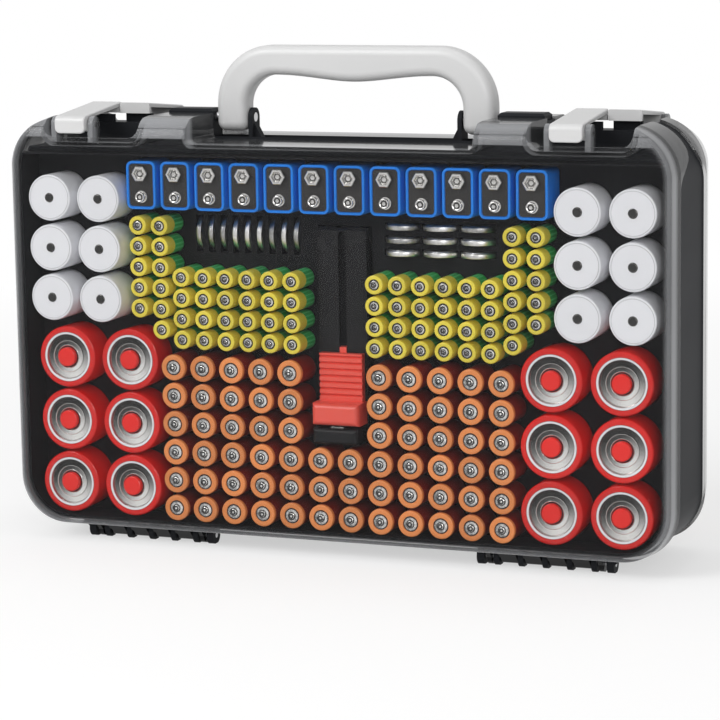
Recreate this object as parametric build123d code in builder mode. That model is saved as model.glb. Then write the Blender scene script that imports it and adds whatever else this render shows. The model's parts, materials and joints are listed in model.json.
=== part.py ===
from build123d import *
import os

os.makedirs("parts", exist_ok=True)

# A carrying case for household batteries. Two clear lids close on a black body, one in
# front and one behind, and cover two trays of cells. The swing handle stands up.
# Millimetres. X is the width, the front faces -Y, and the feet stand on Z = 0.

# ---------------------------------------------------------------- cells: real sizes
aa_diameter = 14.3
aa_length = 49.3
aaa_diameter = 10.3
aaa_length = 43.6
c_diameter = 25.6
c_length = 48.5
d_diameter = 34.2
d_length = 60.0
nine_volt_width = 17.5
nine_volt_height = 26.5
nine_volt_length = 46.4
nine_volt_corner = 3.0
snap_pitch = 12.7
snap_height = 2.3
hex_snap_radius = 4.6
round_snap_radius = 2.9
coin_diameter = 20.0
coin_thickness = 3.2
lithium_diameter = 18.4
lithium_length = 69.5
photo_short_diameter = 15.6
photo_short_length = 27.0
photo_long_diameter = 17.0
photo_long_length = 34.5
alarm_diameter = 10.3
alarm_length = 28.5
small_nub_radius = 2.75
small_nub_height = 1.1
thin_nub_radius = 1.9
thin_nub_height = 0.9
large_nub_radius = 4.75
large_nub_height = 1.5
cell_edge = 0.6

# ---------------------------------------------------------------- front tray layout
aa_columns = 12
aa_rows = 6
aa_short_rows = 3
aa_gap_across = 2.86
aa_gap_up = 1.37
aa_floor_gap = 1.7
d_gap_across = 4.0
d_gap_up = 1.15
d_floor_gap = 2.34
d_rows = 3
aa_to_d_gap = 2.77
c_gap_across = 4.0
c_gap_up = 2.08
c_rows = 3
d_to_c_gap = 3.62
c_wall_gap = 5.3
aaa_gap_across = 2.65
aaa_gap_up = 1.11
aaa_block_columns = 6
aaa_block_rows = 4
aa_to_aaa_gap = 3.33
aaa_from_middle = 18.63
aaa_side_gap = 2.0
aaa_inner_rows = 6
side_aaa_rise = 0.6
aaa_outer_rows = 5
nine_volt_count = 12
nine_volt_gap = 2.78
aaa_to_nine_volt_gap = 3.6
upright_coins = 9
upright_coin_pitch = 7.2
upright_coin_middle = -56.8
upright_coin_sink = 7.6
flat_coin_columns = 3
flat_coin_rows = 3
flat_coin_middle = 54.2
flat_coin_gap = 1.2
flat_coin_rise = 7.0
flat_coin_sink = 3.0
coin_drop = 14.3

# ---------------------------------------------------------------- case
lid_lap = 1.4
lid_wall = 2.2
body_wall = 2.8
side_room = 7.7
head_room = 4.1
foot_height = 8.6
corner_radius = 28.0
face_distance = 46.0
front_parting = 30.5
rear_parting = 21.0
top_parting = 7.0
parting_gap = 0.3
parting_bend_rise = 1.4
parting_bend_height = 22.0
top_rise = 14.0
top_curve = 13.0
front_flare = 1.6
rear_flare = 5.5
face_edge = 2.4
deck = 2.0
deck_gap = 1.6
handle_notch = 81.8
notch_fit = 0.6
notch_corner = 3.0
latch_notch_inner = 110.0
latch_notch_outer = 167.0
latch_notch_rise = 2.7
latch_notch_corner = 6.0
rib_drop = 0.8
raised_rib_outer = 108.5
raised_rib_rise = 3.8
raised_rib_edge = 1.4
catch_rib_drop = 5.8
catch_height = 4.2
catch_thickness = 3.0
catch_setback = 2.5
shoulder_gap = 0.6

# ---------------------------------------------------------------- trays
tray_depth = 26.0
tray_sheet = 2.0
tray_fit = 0.4
tray_skirt = 1.6
rim_wall = 1.0
rim_to_lid = 2.8
cell_fit = 0.4
pocket_wall = 1.2
coin_fit = 0.3
rear_tray_face = 34.0
rear_tray_inset = 2.9
rear_skirt_depth = 8.0
bay_depth = 2.5
front_cell_face = 40.0

# ---------------------------------------------------------------- rear tray layout
rear_floor_gap = 12.35
rear_aaa_gap = 0.65
rear_aaa_across = 90.0
rear_aaa_inner_across = 39.7
rear_bottom_pitch = 49.6
rear_bottom_columns = 3
rear_green_rows = 2
rear_copper_rows = 7
rear_aa_across = 145.0
rear_aa_gap = 2.6
rear_aa_rows = 6
rear_aa_lift = 1.3
lithium_across = 140.0
lithium_gap = 3.3
lithium_lift = 3.1
lithium_rows = 3
photo_short_across = 82.0
photo_short_gap = 2.85
photo_short_lift = 4.6
photo_short_rows = 3
photo_long_across = 40.5
photo_long_gap = 3.1
photo_long_lift = 9.9
photo_long_rows = 6
alarm_gap = 5.0
alarm_lift = 2.4
alarm_rows = 10
alarm_row_pitch = 33.0
alarm_row_count = 5
alarm_row_rise = 8.0

# ---------------------------------------------------------------- tray screws
screw_radius = 1.45
screw_hole = 1.7
screw_length = 16.0
screw_head_radius = 2.75
screw_head_height = 2.0
front_post_radius = 3.6
rear_post_radius = 4.2
rear_post_bore = 3.1
lug_front = 4.0
lug_back = 8.0
lug_half_height = 3.6
lug_edge = 3.3
side_screw_inset = 7.9
top_screw_drop = 7.5
high_screw_drop = 2.3
seat = 0.3

# ---------------------------------------------------------------- hinges
hinge_axis_height = 4.5
hinge_setback = 4.5
hinge_across = 115.0
knuckle_count = 5
knuckle_pitch = 13.5
knuckle_thickness = 3.0
foot_radius = 4.9
knuckle_neck = 6.0
end_ear_offset = 36.0
end_ear_thickness = 4.0
lid_ear_offset = 31.0
lid_ear_thickness = 2.4
lid_ear_radius = 4.4
barrel_radius = 3.3
barrel_gap = 0.5
hinge_pin_radius = 1.5
web_reach = 6.5
web_lap = 1.0
web_slope = 2.0
web_bite = 0.75
web_waist = 0.7
running_fit = 0.08
press_fit = 0.02

# ---------------------------------------------------------------- latches
latch_width = 18.0
front_latch_across = 131.5
rear_latch_across = 151.0
latch_pivot_inset = 9.0
latch_pivot_drop = 4.8
latch_pin_radius = 1.5
latch_ear_thickness = 3.0
latch_ear_radius = 4.6
latch_ear_gap = 0.5
latch_barrel_radius = 3.8
latch_plate = 2.6
latch_skirt_drop = 4.4
latch_skirt_reach = 7.8
latch_overhang = 2.4
latch_rise = 9.6
latch_start_rise = 6.2
latch_tooth = 2.4
latch_clearance = 0.45
latch_bend = 3.5
latch_corner = 3.0
latch_edge = 0.8

# ---------------------------------------------------------------- handle
handle_half_width = 80.2
handle_leg = 18.0
handle_depth = 15.0
handle_pivot_rise = 11.7
handle_foot_drop = 7.4
handle_rise = 39.4
grip_thickness = 16.0
grip_swell = 3.4
handle_outer_radius = 32.0
handle_inner_radius = 17.0
handle_edge = 5.0
handle_pin_radius = 2.5
handle_pin_bite = 5.0
handle_ear_gap = 0.5
handle_ear_thickness = 2.4
handle_ear_radius = 5.2
handle_ear_brace = 5.0
handle_brace_drop = 3.0
handle_brace_thickness = 5.0

# ---------------------------------------------------------------- tester
tester_half_width = 14.0
tester_room = 1.5
tester_proud = 5.0
tester_depth = 19.0
tester_height = 116.0
tester_below = 1.9
tester_edge = 1.5
tester_cavity_wall = 2.0
tester_cavity_depth = 7.0
slot_half_width = 2.2
slot_depth = 5.0
slot_foot_half_width = 4.2
slot_foot_depth = 3.0
slot_bottom = 14.0
slot_top_wall = 2.5
slide_fit = 0.3
foot_top = 8.8
foot_half_width = 13.0
foot_reach = 14.5
foot_edge = 2.5
slider_half_width = 13.5
slider_neck_half_width = 12.3
slider_gap = 1.5
slider_height = 38.0
nose_height = 12.0
nose_reach = 14.5
nose_edge = 3.0
ribbed_reach = 4.5
rib_count = 7
rib_pitch = 3.5
rib_cut = 1.5
tongue_above = 3.0
tongue_inset = 6.0
contact_width = 7.0
contact_depth = 6.0
contact_thickness = 0.5
contact_inset = 1.5
board_thickness = 1.6
board_height = 54.0
board_margin = 1.0

# ---------------------------------------------------------------- places worked out
aa_pitch = aa_diameter + aa_gap_across
aa_rise = aa_diameter + aa_gap_up
d_pitch = d_diameter + d_gap_across
d_rise = d_diameter + d_gap_up
c_pitch = c_diameter + c_gap_across
c_rise = c_diameter + c_gap_up
aaa_pitch = aaa_diameter + aaa_gap_across
aaa_rise = aaa_diameter + aaa_gap_up
nine_volt_pitch = nine_volt_width + nine_volt_gap

aa_edge_x = (aa_columns - 1) / 2 * aa_pitch + aa_diameter / 2
d_inner_x = aa_edge_x + aa_to_d_gap + d_diameter / 2
d_outer_x = d_inner_x + d_pitch
inner_half_width = d_outer_x + d_diameter / 2 + side_room
c_outer_x = inner_half_width - c_wall_gap - c_diameter / 2
c_inner_x = c_outer_x - c_pitch

lid_half_width = inner_half_width + body_wall + lid_lap
inner_floor = foot_height + lid_lap + body_wall
aa_bottom_z = inner_floor + aa_floor_gap + aa_diameter / 2
aa_top_z = aa_bottom_z + (aa_rows - 1) * aa_rise
d_bottom_z = inner_floor + d_floor_gap + d_diameter / 2
d_top_z = d_bottom_z + (d_rows - 1) * d_rise
c_bottom_z = d_top_z + d_diameter / 2 + d_to_c_gap + c_diameter / 2
c_top_z = c_bottom_z + (c_rows - 1) * c_rise
aaa_bottom_z = aa_top_z + aa_diameter / 2 + aa_to_aaa_gap + aaa_diameter / 2
aaa_inner_x = aaa_from_middle + aaa_diameter / 2
aaa_side_x = aaa_inner_x + (aaa_block_columns - 1) * aaa_pitch + aaa_diameter / 2 + aaa_side_gap
aaa_column_x = aaa_side_x + aaa_diameter / 2
aaa_outer_x = aaa_column_x + aaa_diameter + aaa_gap_across
aaa_side_top_z = d_top_z + d_diameter / 2 + side_aaa_rise + (aaa_inner_rows - 1) * aaa_rise
nine_volt_z = aaa_side_top_z + aaa_diameter / 2 + aaa_to_nine_volt_gap + nine_volt_height / 2
inner_top = nine_volt_z + nine_volt_height / 2 + head_room

case_bottom = foot_height
deck_top = inner_top + deck
lid_floor = deck_top + deck_gap
handle_floor = lid_floor + lid_wall
latch_floor = handle_floor + latch_notch_rise
case_top = handle_floor + top_rise
case_middle = (case_top + case_bottom) / 2
bend_top = handle_floor + parting_bend_rise
bend_bottom = bend_top - parting_bend_height
body_inset = lid_lap
inner_inset = lid_lap + body_wall
shoulder_inset = lid_wall + shoulder_gap

front_tray_face = -face_distance + tray_depth
coin_z = nine_volt_z - nine_volt_height / 2 - coin_drop
side_screw_x = inner_half_width - side_screw_inset
top_screw_x = (c_inner_x + c_outer_x) / 2
top_screw_z = inner_top - top_screw_drop
low_screw_z = d_bottom_z + d_rise / 2
middle_screw_z = d_bottom_z + d_rise * 3 / 2
high_screw_z = (d_top_z + d_diameter / 2 + c_bottom_z - c_diameter / 2) / 2 - high_screw_drop

handle_pivot_z = handle_floor + handle_pivot_rise
handle_top_z = handle_pivot_z + handle_rise
latch_pivot_y = -face_distance + latch_pivot_inset
latch_pivot_z = case_top - latch_pivot_drop

tester_bottom = aa_bottom_z + (aa_short_rows - 1) * aa_rise + aa_diameter / 2 + tester_below
tester_top = tester_bottom + tester_height
tester_face = front_tray_face - tester_proud
tester_back = tester_face + tester_depth
slider_bottom = tester_bottom + foot_top + slider_gap
slider_top = slider_bottom + slider_height


# ---------------------------------------------------------------- planes and outlines
def facing(depth):
    """Plane across the case: local x is X, local y is Z, and it looks to the front."""
    return Plane(origin=(0, depth, 0), x_dir=(1, 0, 0), z_dir=(0, -1, 0))


def section(across):
    """Plane along the case: local x is Y, local y is Z, and it looks to +X."""
    return Plane(origin=(across, 0, 0), x_dir=(0, 1, 0), z_dir=(1, 0, 0))


def case_outline(inset):
    """The case from the front, that much inside the lids' widest line."""
    with Locations((0, case_middle)):
        RectangleRounded(
            2 * (lid_half_width - inset),
            case_top - case_bottom - 2 * inset,
            corner_radius - inset,
        )


def inner_outline(inset):
    """The room for the trays from the front: the case's walls, and flat under the deck."""
    case_outline(inner_inset + inset)
    with Locations((0, inner_top - inset + case_top / 2)):
        Rectangle(2 * lid_half_width, case_top, mode=Mode.SUBTRACT)


def notch_outline(margin, latch_level):
    """The handle's notch and the two latch notches, cut down into a lid's top."""
    tall = 4 * top_rise
    latch_middle = (latch_notch_inner + latch_notch_outer) / 2
    latch_room = latch_notch_outer - latch_notch_inner + 2 * margin
    with Locations((0, handle_floor - margin + tall / 2)):
        RectangleRounded(2 * (handle_notch + margin), tall, notch_corner + margin)
    for side in (-1, 1):
        with Locations((side * latch_middle, latch_level - margin + tall / 2)):
            RectangleRounded(latch_room, tall, latch_notch_corner + margin)


def parting_line(side, low, high):
    """A lid's edge from the side, where it bends from the low parting to the high one."""
    middle = (bend_bottom + bend_top) / 2
    Bezier(
        (side * low, bend_bottom),
        (side * low, middle),
        (side * high, middle),
        (side * high, bend_top),
    )


def grid(columns, rows):
    """Every pair of a column and a row."""
    return [(x, z) for x in columns for z in rows]


def both_sides(places):
    """The places and their mirror images."""
    return places + [(-x, z) for x, z in places]


# ---------------------------------------------------------------- where the cells stand
aa_column_x = [(i - (aa_columns - 1) / 2) * aa_pitch for i in range(aa_columns)]
aa_row_z = [aa_bottom_z + i * aa_rise for i in range(aa_rows)]
aa_short_z = aa_row_z[:aa_short_rows]
aa_places = [(x, z) for x, z in grid(aa_column_x, aa_row_z) if abs(x) > aa_pitch or z in aa_short_z]
d_row_z = [d_bottom_z + i * d_rise for i in range(d_rows)]
c_row_z = [c_bottom_z + i * c_rise for i in range(c_rows)]
d_places = both_sides(grid([d_inner_x, d_outer_x], d_row_z))
c_places = both_sides(grid([c_inner_x, c_outer_x], c_row_z))
aaa_block_x = [aaa_inner_x + i * aaa_pitch for i in range(aaa_block_columns)]
aaa_block_z = [aaa_bottom_z + i * aaa_rise for i in range(aaa_block_rows)]
aaa_side_z = [aaa_side_top_z - i * aaa_rise for i in range(aaa_inner_rows)]
aaa_places = both_sides(
    grid(aaa_block_x, aaa_block_z)
    + grid([aaa_column_x], aaa_side_z)
    + grid([aaa_outer_x], aaa_side_z[:aaa_outer_rows])
)
nine_volt_first = -(nine_volt_count - 1) / 2 * nine_volt_pitch
nine_volt_places = [(nine_volt_first + i * nine_volt_pitch, nine_volt_z) for i in range(nine_volt_count)]
upright_first = upright_coin_middle - (upright_coins - 1) / 2 * upright_coin_pitch
upright_places = [(upright_first + i * upright_coin_pitch, coin_z) for i in range(upright_coins)]
flat_coin_x = [
    flat_coin_middle + (i - (flat_coin_columns - 1) / 2) * (coin_diameter + flat_coin_gap)
    for i in range(flat_coin_columns)
]
flat_coin_z = [coin_z + (i - (flat_coin_rows - 1) / 2) * flat_coin_rise for i in range(flat_coin_rows)]
flat_places = grid(flat_coin_x, flat_coin_z)
upright_coin_y = front_tray_face + upright_coin_sink
flat_coin_y = front_tray_face + flat_coin_sink

rear_aaa_rise = aaa_diameter + rear_aaa_gap
rear_bottom_z = inner_floor + rear_floor_gap
rear_green_z = [rear_bottom_z + (i + 1) * rear_aaa_rise for i in range(rear_green_rows)]
rear_copper_z = [rear_green_z[-1] + (i + 1) * rear_aaa_rise for i in range(rear_copper_rows)]
rear_aa_bottom = rear_bottom_z + aaa_diameter / 2 + rear_aa_lift + aa_diameter / 2
rear_aa_z = [rear_aa_bottom + i * (aa_diameter + rear_aa_gap) for i in range(rear_aa_rows)]
lithium_bottom = rear_aa_z[-1] + aa_diameter / 2 + lithium_lift + lithium_diameter / 2
lithium_z = [lithium_bottom + i * (lithium_diameter + lithium_gap) for i in range(lithium_rows)]
photo_short_bottom = rear_copper_z[-1] + aaa_diameter / 2 + photo_short_lift + photo_short_diameter / 2
photo_short_rise = photo_short_diameter + photo_short_gap
photo_short_z = [photo_short_bottom + i * photo_short_rise for i in range(photo_short_rows)]
photo_long_bottom = rear_green_z[-1] + aaa_diameter / 2 + photo_long_lift + photo_long_diameter / 2
photo_long_rise = photo_long_diameter + photo_long_gap
photo_long_z = [photo_long_bottom + i * photo_long_rise for i in range(photo_long_rows)]
alarm_bottom = rear_bottom_z + aaa_diameter / 2 + alarm_lift + alarm_diameter / 2
alarm_z = [alarm_bottom + i * (alarm_diameter + alarm_gap) for i in range(alarm_rows)]
alarm_row_z = alarm_z[-1] + alarm_diameter + alarm_row_rise
alarm_row_first = -(alarm_row_count - 1) / 2 * alarm_row_pitch
alarm_row_x = [alarm_row_first + i * alarm_row_pitch for i in range(alarm_row_count)]

rear_bottom_x = [(i + 0.5) * rear_bottom_pitch for i in range(rear_bottom_columns)]
lying = {
    "rear_lithium_cells": (lithium_diameter, lithium_length, both_sides(grid([lithium_across], lithium_z))),
    "rear_photo_short_cells": (
        photo_short_diameter,
        photo_short_length,
        both_sides(grid([photo_short_across], photo_short_z)),
    ),
    "rear_photo_long_cells": (
        photo_long_diameter,
        photo_long_length,
        both_sides(grid([photo_long_across], photo_long_z)),
    ),
    "rear_alarm_column_cells": (alarm_diameter, alarm_length, grid([0], alarm_z)),
    "rear_alarm_row_cells": (
        alarm_diameter,
        alarm_length,
        grid(alarm_row_x, [alarm_row_z]),
    ),
    "rear_copper_aaa_cells": (aaa_diameter, aaa_length, both_sides(grid([rear_aaa_across], rear_copper_z))),
    "rear_green_aaa_cells": (
        aaa_diameter,
        aaa_length,
        both_sides(
            grid([rear_aaa_across, rear_aaa_inner_across], rear_green_z)
            + grid(rear_bottom_x, [rear_bottom_z])
        ),
    ),
    "rear_aa_cells": (aa_diameter, aa_length, both_sides(grid([rear_aa_across], rear_aa_z))),
}
screw_places = both_sides(
    grid([side_screw_x], [low_screw_z, middle_screw_z, high_screw_z]) + [(top_screw_x, top_screw_z)]
)


def finish(piece, name):
    """Name a finished piece and write it."""
    piece.part.label = name
    export_step(piece.part, f"parts/{name}.step")


# ---------------------------------------------------------------- cells
def standing_cells(places, diameter, length, face, nub_radius, nub_height):
    """Round cells that stand with their positive ends to the front."""
    with BuildPart() as cells:
        with BuildSketch(facing(face + length)):
            with Locations(*places):
                Circle(diameter / 2)
        extrude(amount=length)
        chamfer(cells.edges().filter_by(GeomType.CIRCLE), cell_edge)
        with BuildSketch(facing(face)):
            with Locations(*places):
                Circle(nub_radius)
        extrude(amount=nub_height)
    return cells


def lying_cells(places, diameter, length):
    """Round cells that lie across the rear tray, with their positive ends to the left."""
    with BuildPart() as cells:
        for across in sorted({x for x, z in places}):
            heights = [z for x, z in places if x == across]
            with BuildSketch(section(across - length / 2)):
                with Locations(*[(rear_tray_face, z) for z in heights]):
                    Circle(diameter / 2)
            extrude(amount=length)
            with BuildSketch(section(across + length / 2)):
                with Locations(*[(rear_tray_face, z) for z in heights]):
                    Circle(thin_nub_radius)
            extrude(amount=thin_nub_height)
        circles = cells.edges().filter_by(GeomType.CIRCLE)
        chamfer(circles.filter_by(lambda e: abs(e.radius - diameter / 2) < cell_edge), cell_edge)
    return cells


cell_face = -front_cell_face
aa_cells = standing_cells(aa_places, aa_diameter, aa_length, cell_face, small_nub_radius, small_nub_height)
finish(aa_cells, "aa_cells")
aaa_cells = standing_cells(aaa_places, aaa_diameter, aaa_length, cell_face, thin_nub_radius, thin_nub_height)
finish(aaa_cells, "aaa_cells")
d_face = cell_face + large_nub_height
d_cells = standing_cells(d_places, d_diameter, d_length, d_face, large_nub_radius, large_nub_height)
finish(d_cells, "d_cells")
c_face = cell_face - large_nub_height
c_cells = standing_cells(c_places, c_diameter, c_length, c_face, small_nub_radius, small_nub_height)
finish(c_cells, "c_cells")

nine_volt_face = cell_face + small_nub_height
with BuildPart() as nine_volt_cells:
    with BuildSketch(facing(nine_volt_face + nine_volt_length)):
        with Locations(*nine_volt_places):
            RectangleRounded(nine_volt_width, nine_volt_height, nine_volt_corner)
    extrude(amount=nine_volt_length)
    with BuildSketch(facing(nine_volt_face)):
        with Locations(*[(x, z + snap_pitch / 2) for x, z in nine_volt_places]):
            RegularPolygon(hex_snap_radius, 6)
        with Locations(*[(x, z - snap_pitch / 2) for x, z in nine_volt_places]):
            Circle(round_snap_radius)
    extrude(amount=snap_height)
finish(nine_volt_cells, "nine_volt_cells")

with BuildPart() as upright_coin_cells:
    for x, z in upright_places:
        with BuildSketch(section(x - coin_thickness / 2)):
            with Locations((upright_coin_y, z)):
                Circle(coin_diameter / 2)
        extrude(amount=coin_thickness)
finish(upright_coin_cells, "upright_coin_cells")

with BuildPart() as flat_coin_cells:
    for z in flat_coin_z:
        with BuildSketch(Plane.XY.offset(z - coin_thickness / 2)):
            with Locations(*[(x, flat_coin_y) for x in flat_coin_x]):
                Circle(coin_diameter / 2)
        extrude(amount=coin_thickness)
finish(flat_coin_cells, "flat_coin_cells")

for lying_name, (lying_diameter, lying_length, lying_places) in lying.items():
    finish(lying_cells(lying_places, lying_diameter, lying_length), lying_name)


# ---------------------------------------------------------------- front tray
well_margin = cell_fit + pocket_wall
lug_seat = lug_front - seat


def front_wells(places, room, back):
    """Square wells behind the sheet, joined where they touch."""
    with BuildSketch(facing(back + well_margin)) as wells:
        with Locations(*places):
            Rectangle(room[0] + 2 * well_margin, room[1] + 2 * well_margin)
    extrude(wells.sketch, amount=back + well_margin - front_tray_face)


def front_tubes(places, diameter, back):
    """Round wells behind the sheet."""
    with BuildSketch(facing(back + well_margin)) as wells:
        with Locations(*places):
            Circle(diameter / 2 + well_margin)
    extrude(wells.sketch, amount=back + well_margin - front_tray_face)


def front_bores(places, diameter, back):
    """The round pockets themselves, open to the front."""
    with BuildSketch(facing(back + cell_fit)) as pockets:
        with Locations(*places):
            Circle(diameter / 2 + cell_fit)
    extrude(pockets.sketch, amount=back + cell_fit + face_distance, mode=Mode.SUBTRACT)


aa_back = cell_face + aa_length
aaa_back = cell_face + aaa_length
d_back = d_face + d_length
c_back = c_face + c_length
nine_volt_back = nine_volt_face + nine_volt_length
upright_coin_back = upright_coin_y + coin_diameter / 2
flat_coin_back = flat_coin_y + coin_diameter / 2
coin_slot = coin_thickness + 2 * coin_fit
coin_room = coin_diameter + 2 * coin_fit
upright_span = (upright_coins - 1) * upright_coin_pitch + coin_thickness
flat_span = (flat_coin_columns - 1) * (coin_diameter + flat_coin_gap) + coin_diameter
flat_tall = (flat_coin_rows - 1) * flat_coin_rise + coin_thickness
tester_room_half = tester_half_width + tester_room

with BuildPart() as front_tray:
    with BuildSketch(facing(front_tray_face + tray_sheet)):
        inner_outline(tray_fit)
    extrude(amount=tray_sheet)
    with BuildSketch(facing(lug_seat)):
        inner_outline(tray_fit)
    extrude(amount=lug_seat - front_tray_face - tray_sheet)
    with BuildSketch(facing(lug_seat)):
        inner_outline(tray_fit + tray_skirt)
    extrude(amount=lug_seat - front_tray_face - tray_sheet, mode=Mode.SUBTRACT)
    front_wells(aa_places, (aa_diameter, aa_diameter), aa_back)
    front_wells(aaa_places, (aaa_diameter, aaa_diameter), aaa_back)
    front_wells(nine_volt_places, (nine_volt_width, nine_volt_height), nine_volt_back)
    front_wells([(upright_coin_middle, coin_z)], (upright_span, coin_diameter), upright_coin_back)
    front_wells([(flat_coin_middle, coin_z)], (flat_span, flat_tall), flat_coin_back)
    front_wells(
        [(0, (tester_bottom + tester_top) / 2)],
        (2 * tester_room_half, tester_height),
        tester_back,
    )
    front_tubes(d_places, d_diameter, d_back)
    front_tubes(c_places, c_diameter, c_back)
    with BuildSketch(facing(lug_seat)):
        with Locations(*screw_places):
            Circle(front_post_radius)
    extrude(amount=lug_seat - front_tray_face)
    with BuildSketch(facing(d_back + well_margin)):
        inner_outline(tray_fit)
    extrude(amount=d_back + well_margin - front_tray_face, mode=Mode.INTERSECT)
    front_bores(aa_places, aa_diameter, aa_back)
    front_bores(aaa_places, aaa_diameter, aaa_back)
    front_bores(d_places, d_diameter, d_back)
    front_bores(c_places, c_diameter, c_back)
    with BuildSketch(facing(nine_volt_back + cell_fit)):
        with Locations(*nine_volt_places):
            RectangleRounded(
                nine_volt_width + 2 * cell_fit,
                nine_volt_height + 2 * cell_fit,
                nine_volt_corner,
            )
    extrude(amount=nine_volt_back + cell_fit + face_distance, mode=Mode.SUBTRACT)
    with BuildSketch(facing(tester_back + cell_fit)):
        with Locations((0, (tester_bottom + tester_top) / 2)):
            Rectangle(2 * tester_room_half, tester_height + 2 * cell_fit)
    extrude(amount=tester_back + cell_fit + face_distance, mode=Mode.SUBTRACT)
    for x, z in upright_places:
        with BuildSketch(section(x - coin_slot / 2)):
            with Locations((upright_coin_y, z)):
                Circle(coin_room / 2)
            with Locations((upright_coin_y - coin_diameter / 2, z)):
                Rectangle(coin_diameter, coin_room)
        extrude(amount=coin_slot, mode=Mode.SUBTRACT)
    for z in flat_coin_z:
        with BuildSketch(Plane.XY.offset(z - coin_slot / 2)):
            with Locations(*[(x, flat_coin_y) for x in flat_coin_x]):
                Circle(coin_room / 2)
            with Locations(*[(x, flat_coin_y - coin_diameter / 2) for x in flat_coin_x]):
                Rectangle(coin_room, coin_diameter)
        extrude(amount=coin_slot, mode=Mode.SUBTRACT)
    with BuildSketch(facing(lug_seat)):
        with Locations(*screw_places):
            Circle(screw_radius + running_fit)
    extrude(amount=screw_length, mode=Mode.SUBTRACT)
finish(front_tray, "front_tray")

# A rim round the tray's edge, which stands up inside the front lid.
rim_back = front_tray_face - seat
rim_depth = rim_back + face_distance - lid_wall - rim_to_lid
with BuildPart() as tray_rim:
    with BuildSketch(facing(rim_back)):
        inner_outline(tray_fit)
    extrude(amount=rim_depth)
    with BuildSketch(facing(rim_back)):
        inner_outline(tray_fit + rim_wall)
    extrude(amount=rim_depth, mode=Mode.SUBTRACT)
finish(tray_rim, "tray_rim")

# ---------------------------------------------------------------- rear tray
rear_post_front = lug_back + seat
with BuildPart() as rear_tray:
    with BuildSketch(facing(rear_tray_face)):
        inner_outline(rear_tray_inset)
    extrude(amount=rear_skirt_depth)
    with BuildSketch(facing(rear_tray_face - tray_sheet)):
        inner_outline(rear_tray_inset + tray_skirt)
    extrude(amount=rear_skirt_depth, mode=Mode.SUBTRACT)
    for lying_diameter, lying_length, lying_places in lying.values():
        with BuildSketch(facing(rear_tray_face)):
            with Locations(*[(x + thin_nub_height / 2, z) for x, z in lying_places]):
                Rectangle(
                    lying_length + thin_nub_height + 2 * well_margin,
                    lying_diameter + 2 * well_margin,
                )
        extrude(amount=lying_diameter / 2 + well_margin)
    with BuildSketch(facing(rear_tray_face)):
        with Locations(*screw_places):
            Circle(rear_post_radius)
    extrude(amount=rear_tray_face - rear_post_front)
    for lying_diameter, lying_length, lying_places in lying.values():
        pocket_length = lying_length + thin_nub_height + 2 * cell_fit
        with BuildSketch(facing(rear_tray_face)):
            with Locations(*[(x + thin_nub_height / 2, z) for x, z in lying_places]):
                Rectangle(pocket_length, lying_diameter + 2 * cell_fit)
        extrude(amount=bay_depth, mode=Mode.SUBTRACT)
        for across in sorted({x for x, z in lying_places}):
            heights = [z for x, z in lying_places if x == across]
            with BuildSketch(section(across + (thin_nub_height - pocket_length) / 2)):
                with Locations(*[(rear_tray_face, z) for z in heights]):
                    Circle(lying_diameter / 2 + cell_fit)
            extrude(amount=pocket_length, mode=Mode.SUBTRACT)
    with BuildSketch(facing(rear_tray_face)):
        with Locations(*screw_places):
            Circle(rear_post_bore)
    extrude(amount=rear_tray_face - rear_post_front - tray_sheet, mode=Mode.SUBTRACT)
    with BuildSketch(facing(rear_tray_face)):
        with Locations(*screw_places):
            Circle(screw_hole)
    extrude(amount=rear_tray_face - rear_post_front, mode=Mode.SUBTRACT)
finish(rear_tray, "rear_tray")

screw_seat = rear_post_front + tray_sheet
with BuildPart() as tray_screws:
    with BuildSketch(facing(screw_seat + screw_head_height)):
        with Locations(*screw_places):
            Circle(screw_head_radius)
    extrude(amount=screw_head_height)
    with BuildSketch(facing(screw_seat)):
        with Locations(*screw_places):
            Circle(screw_radius)
    extrude(amount=screw_length)
finish(tray_screws, "tray_screws")

# ---------------------------------------------------------------- body
front_axis = -(front_parting - hinge_setback)
rear_axis = rear_parting - hinge_setback
body_front = front_parting - parting_gap
body_rear = rear_parting - parting_gap
rib_half = top_parting - parting_gap
rib_top = case_top - body_inset
catch_base = case_top - catch_rib_drop
raised_top = rib_top + raised_rib_rise
front_latches = [front_latch_across, -rear_latch_across]
knuckles = [(i - (knuckle_count - 1) / 2) * knuckle_pitch for i in range(knuckle_count)]
hinge_places = [(x, y) for x in (-hinge_across, hinge_across) for y in (front_axis, rear_axis)]


def knuckle(across, axis_y, thickness):
    """One knuckle of the body: a disc flat on the floor, with a neck up into the body."""
    with BuildSketch(section(across - thickness / 2)) as side_view:
        with Locations((axis_y, hinge_axis_height)):
            Circle(foot_radius)
        with Locations((axis_y, (hinge_axis_height + case_bottom + body_inset) / 2 + parting_gap)):
            Rectangle(knuckle_neck, case_bottom + body_inset - hinge_axis_height + 2 * parting_gap)
        with Locations((axis_y, -foot_radius)):
            Rectangle(2 * foot_radius, 2 * foot_radius, mode=Mode.SUBTRACT)
        with Locations((axis_y, hinge_axis_height)):
            Circle(hinge_pin_radius + press_fit, mode=Mode.SUBTRACT)
    extrude(side_view.sketch, amount=thickness)


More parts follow.
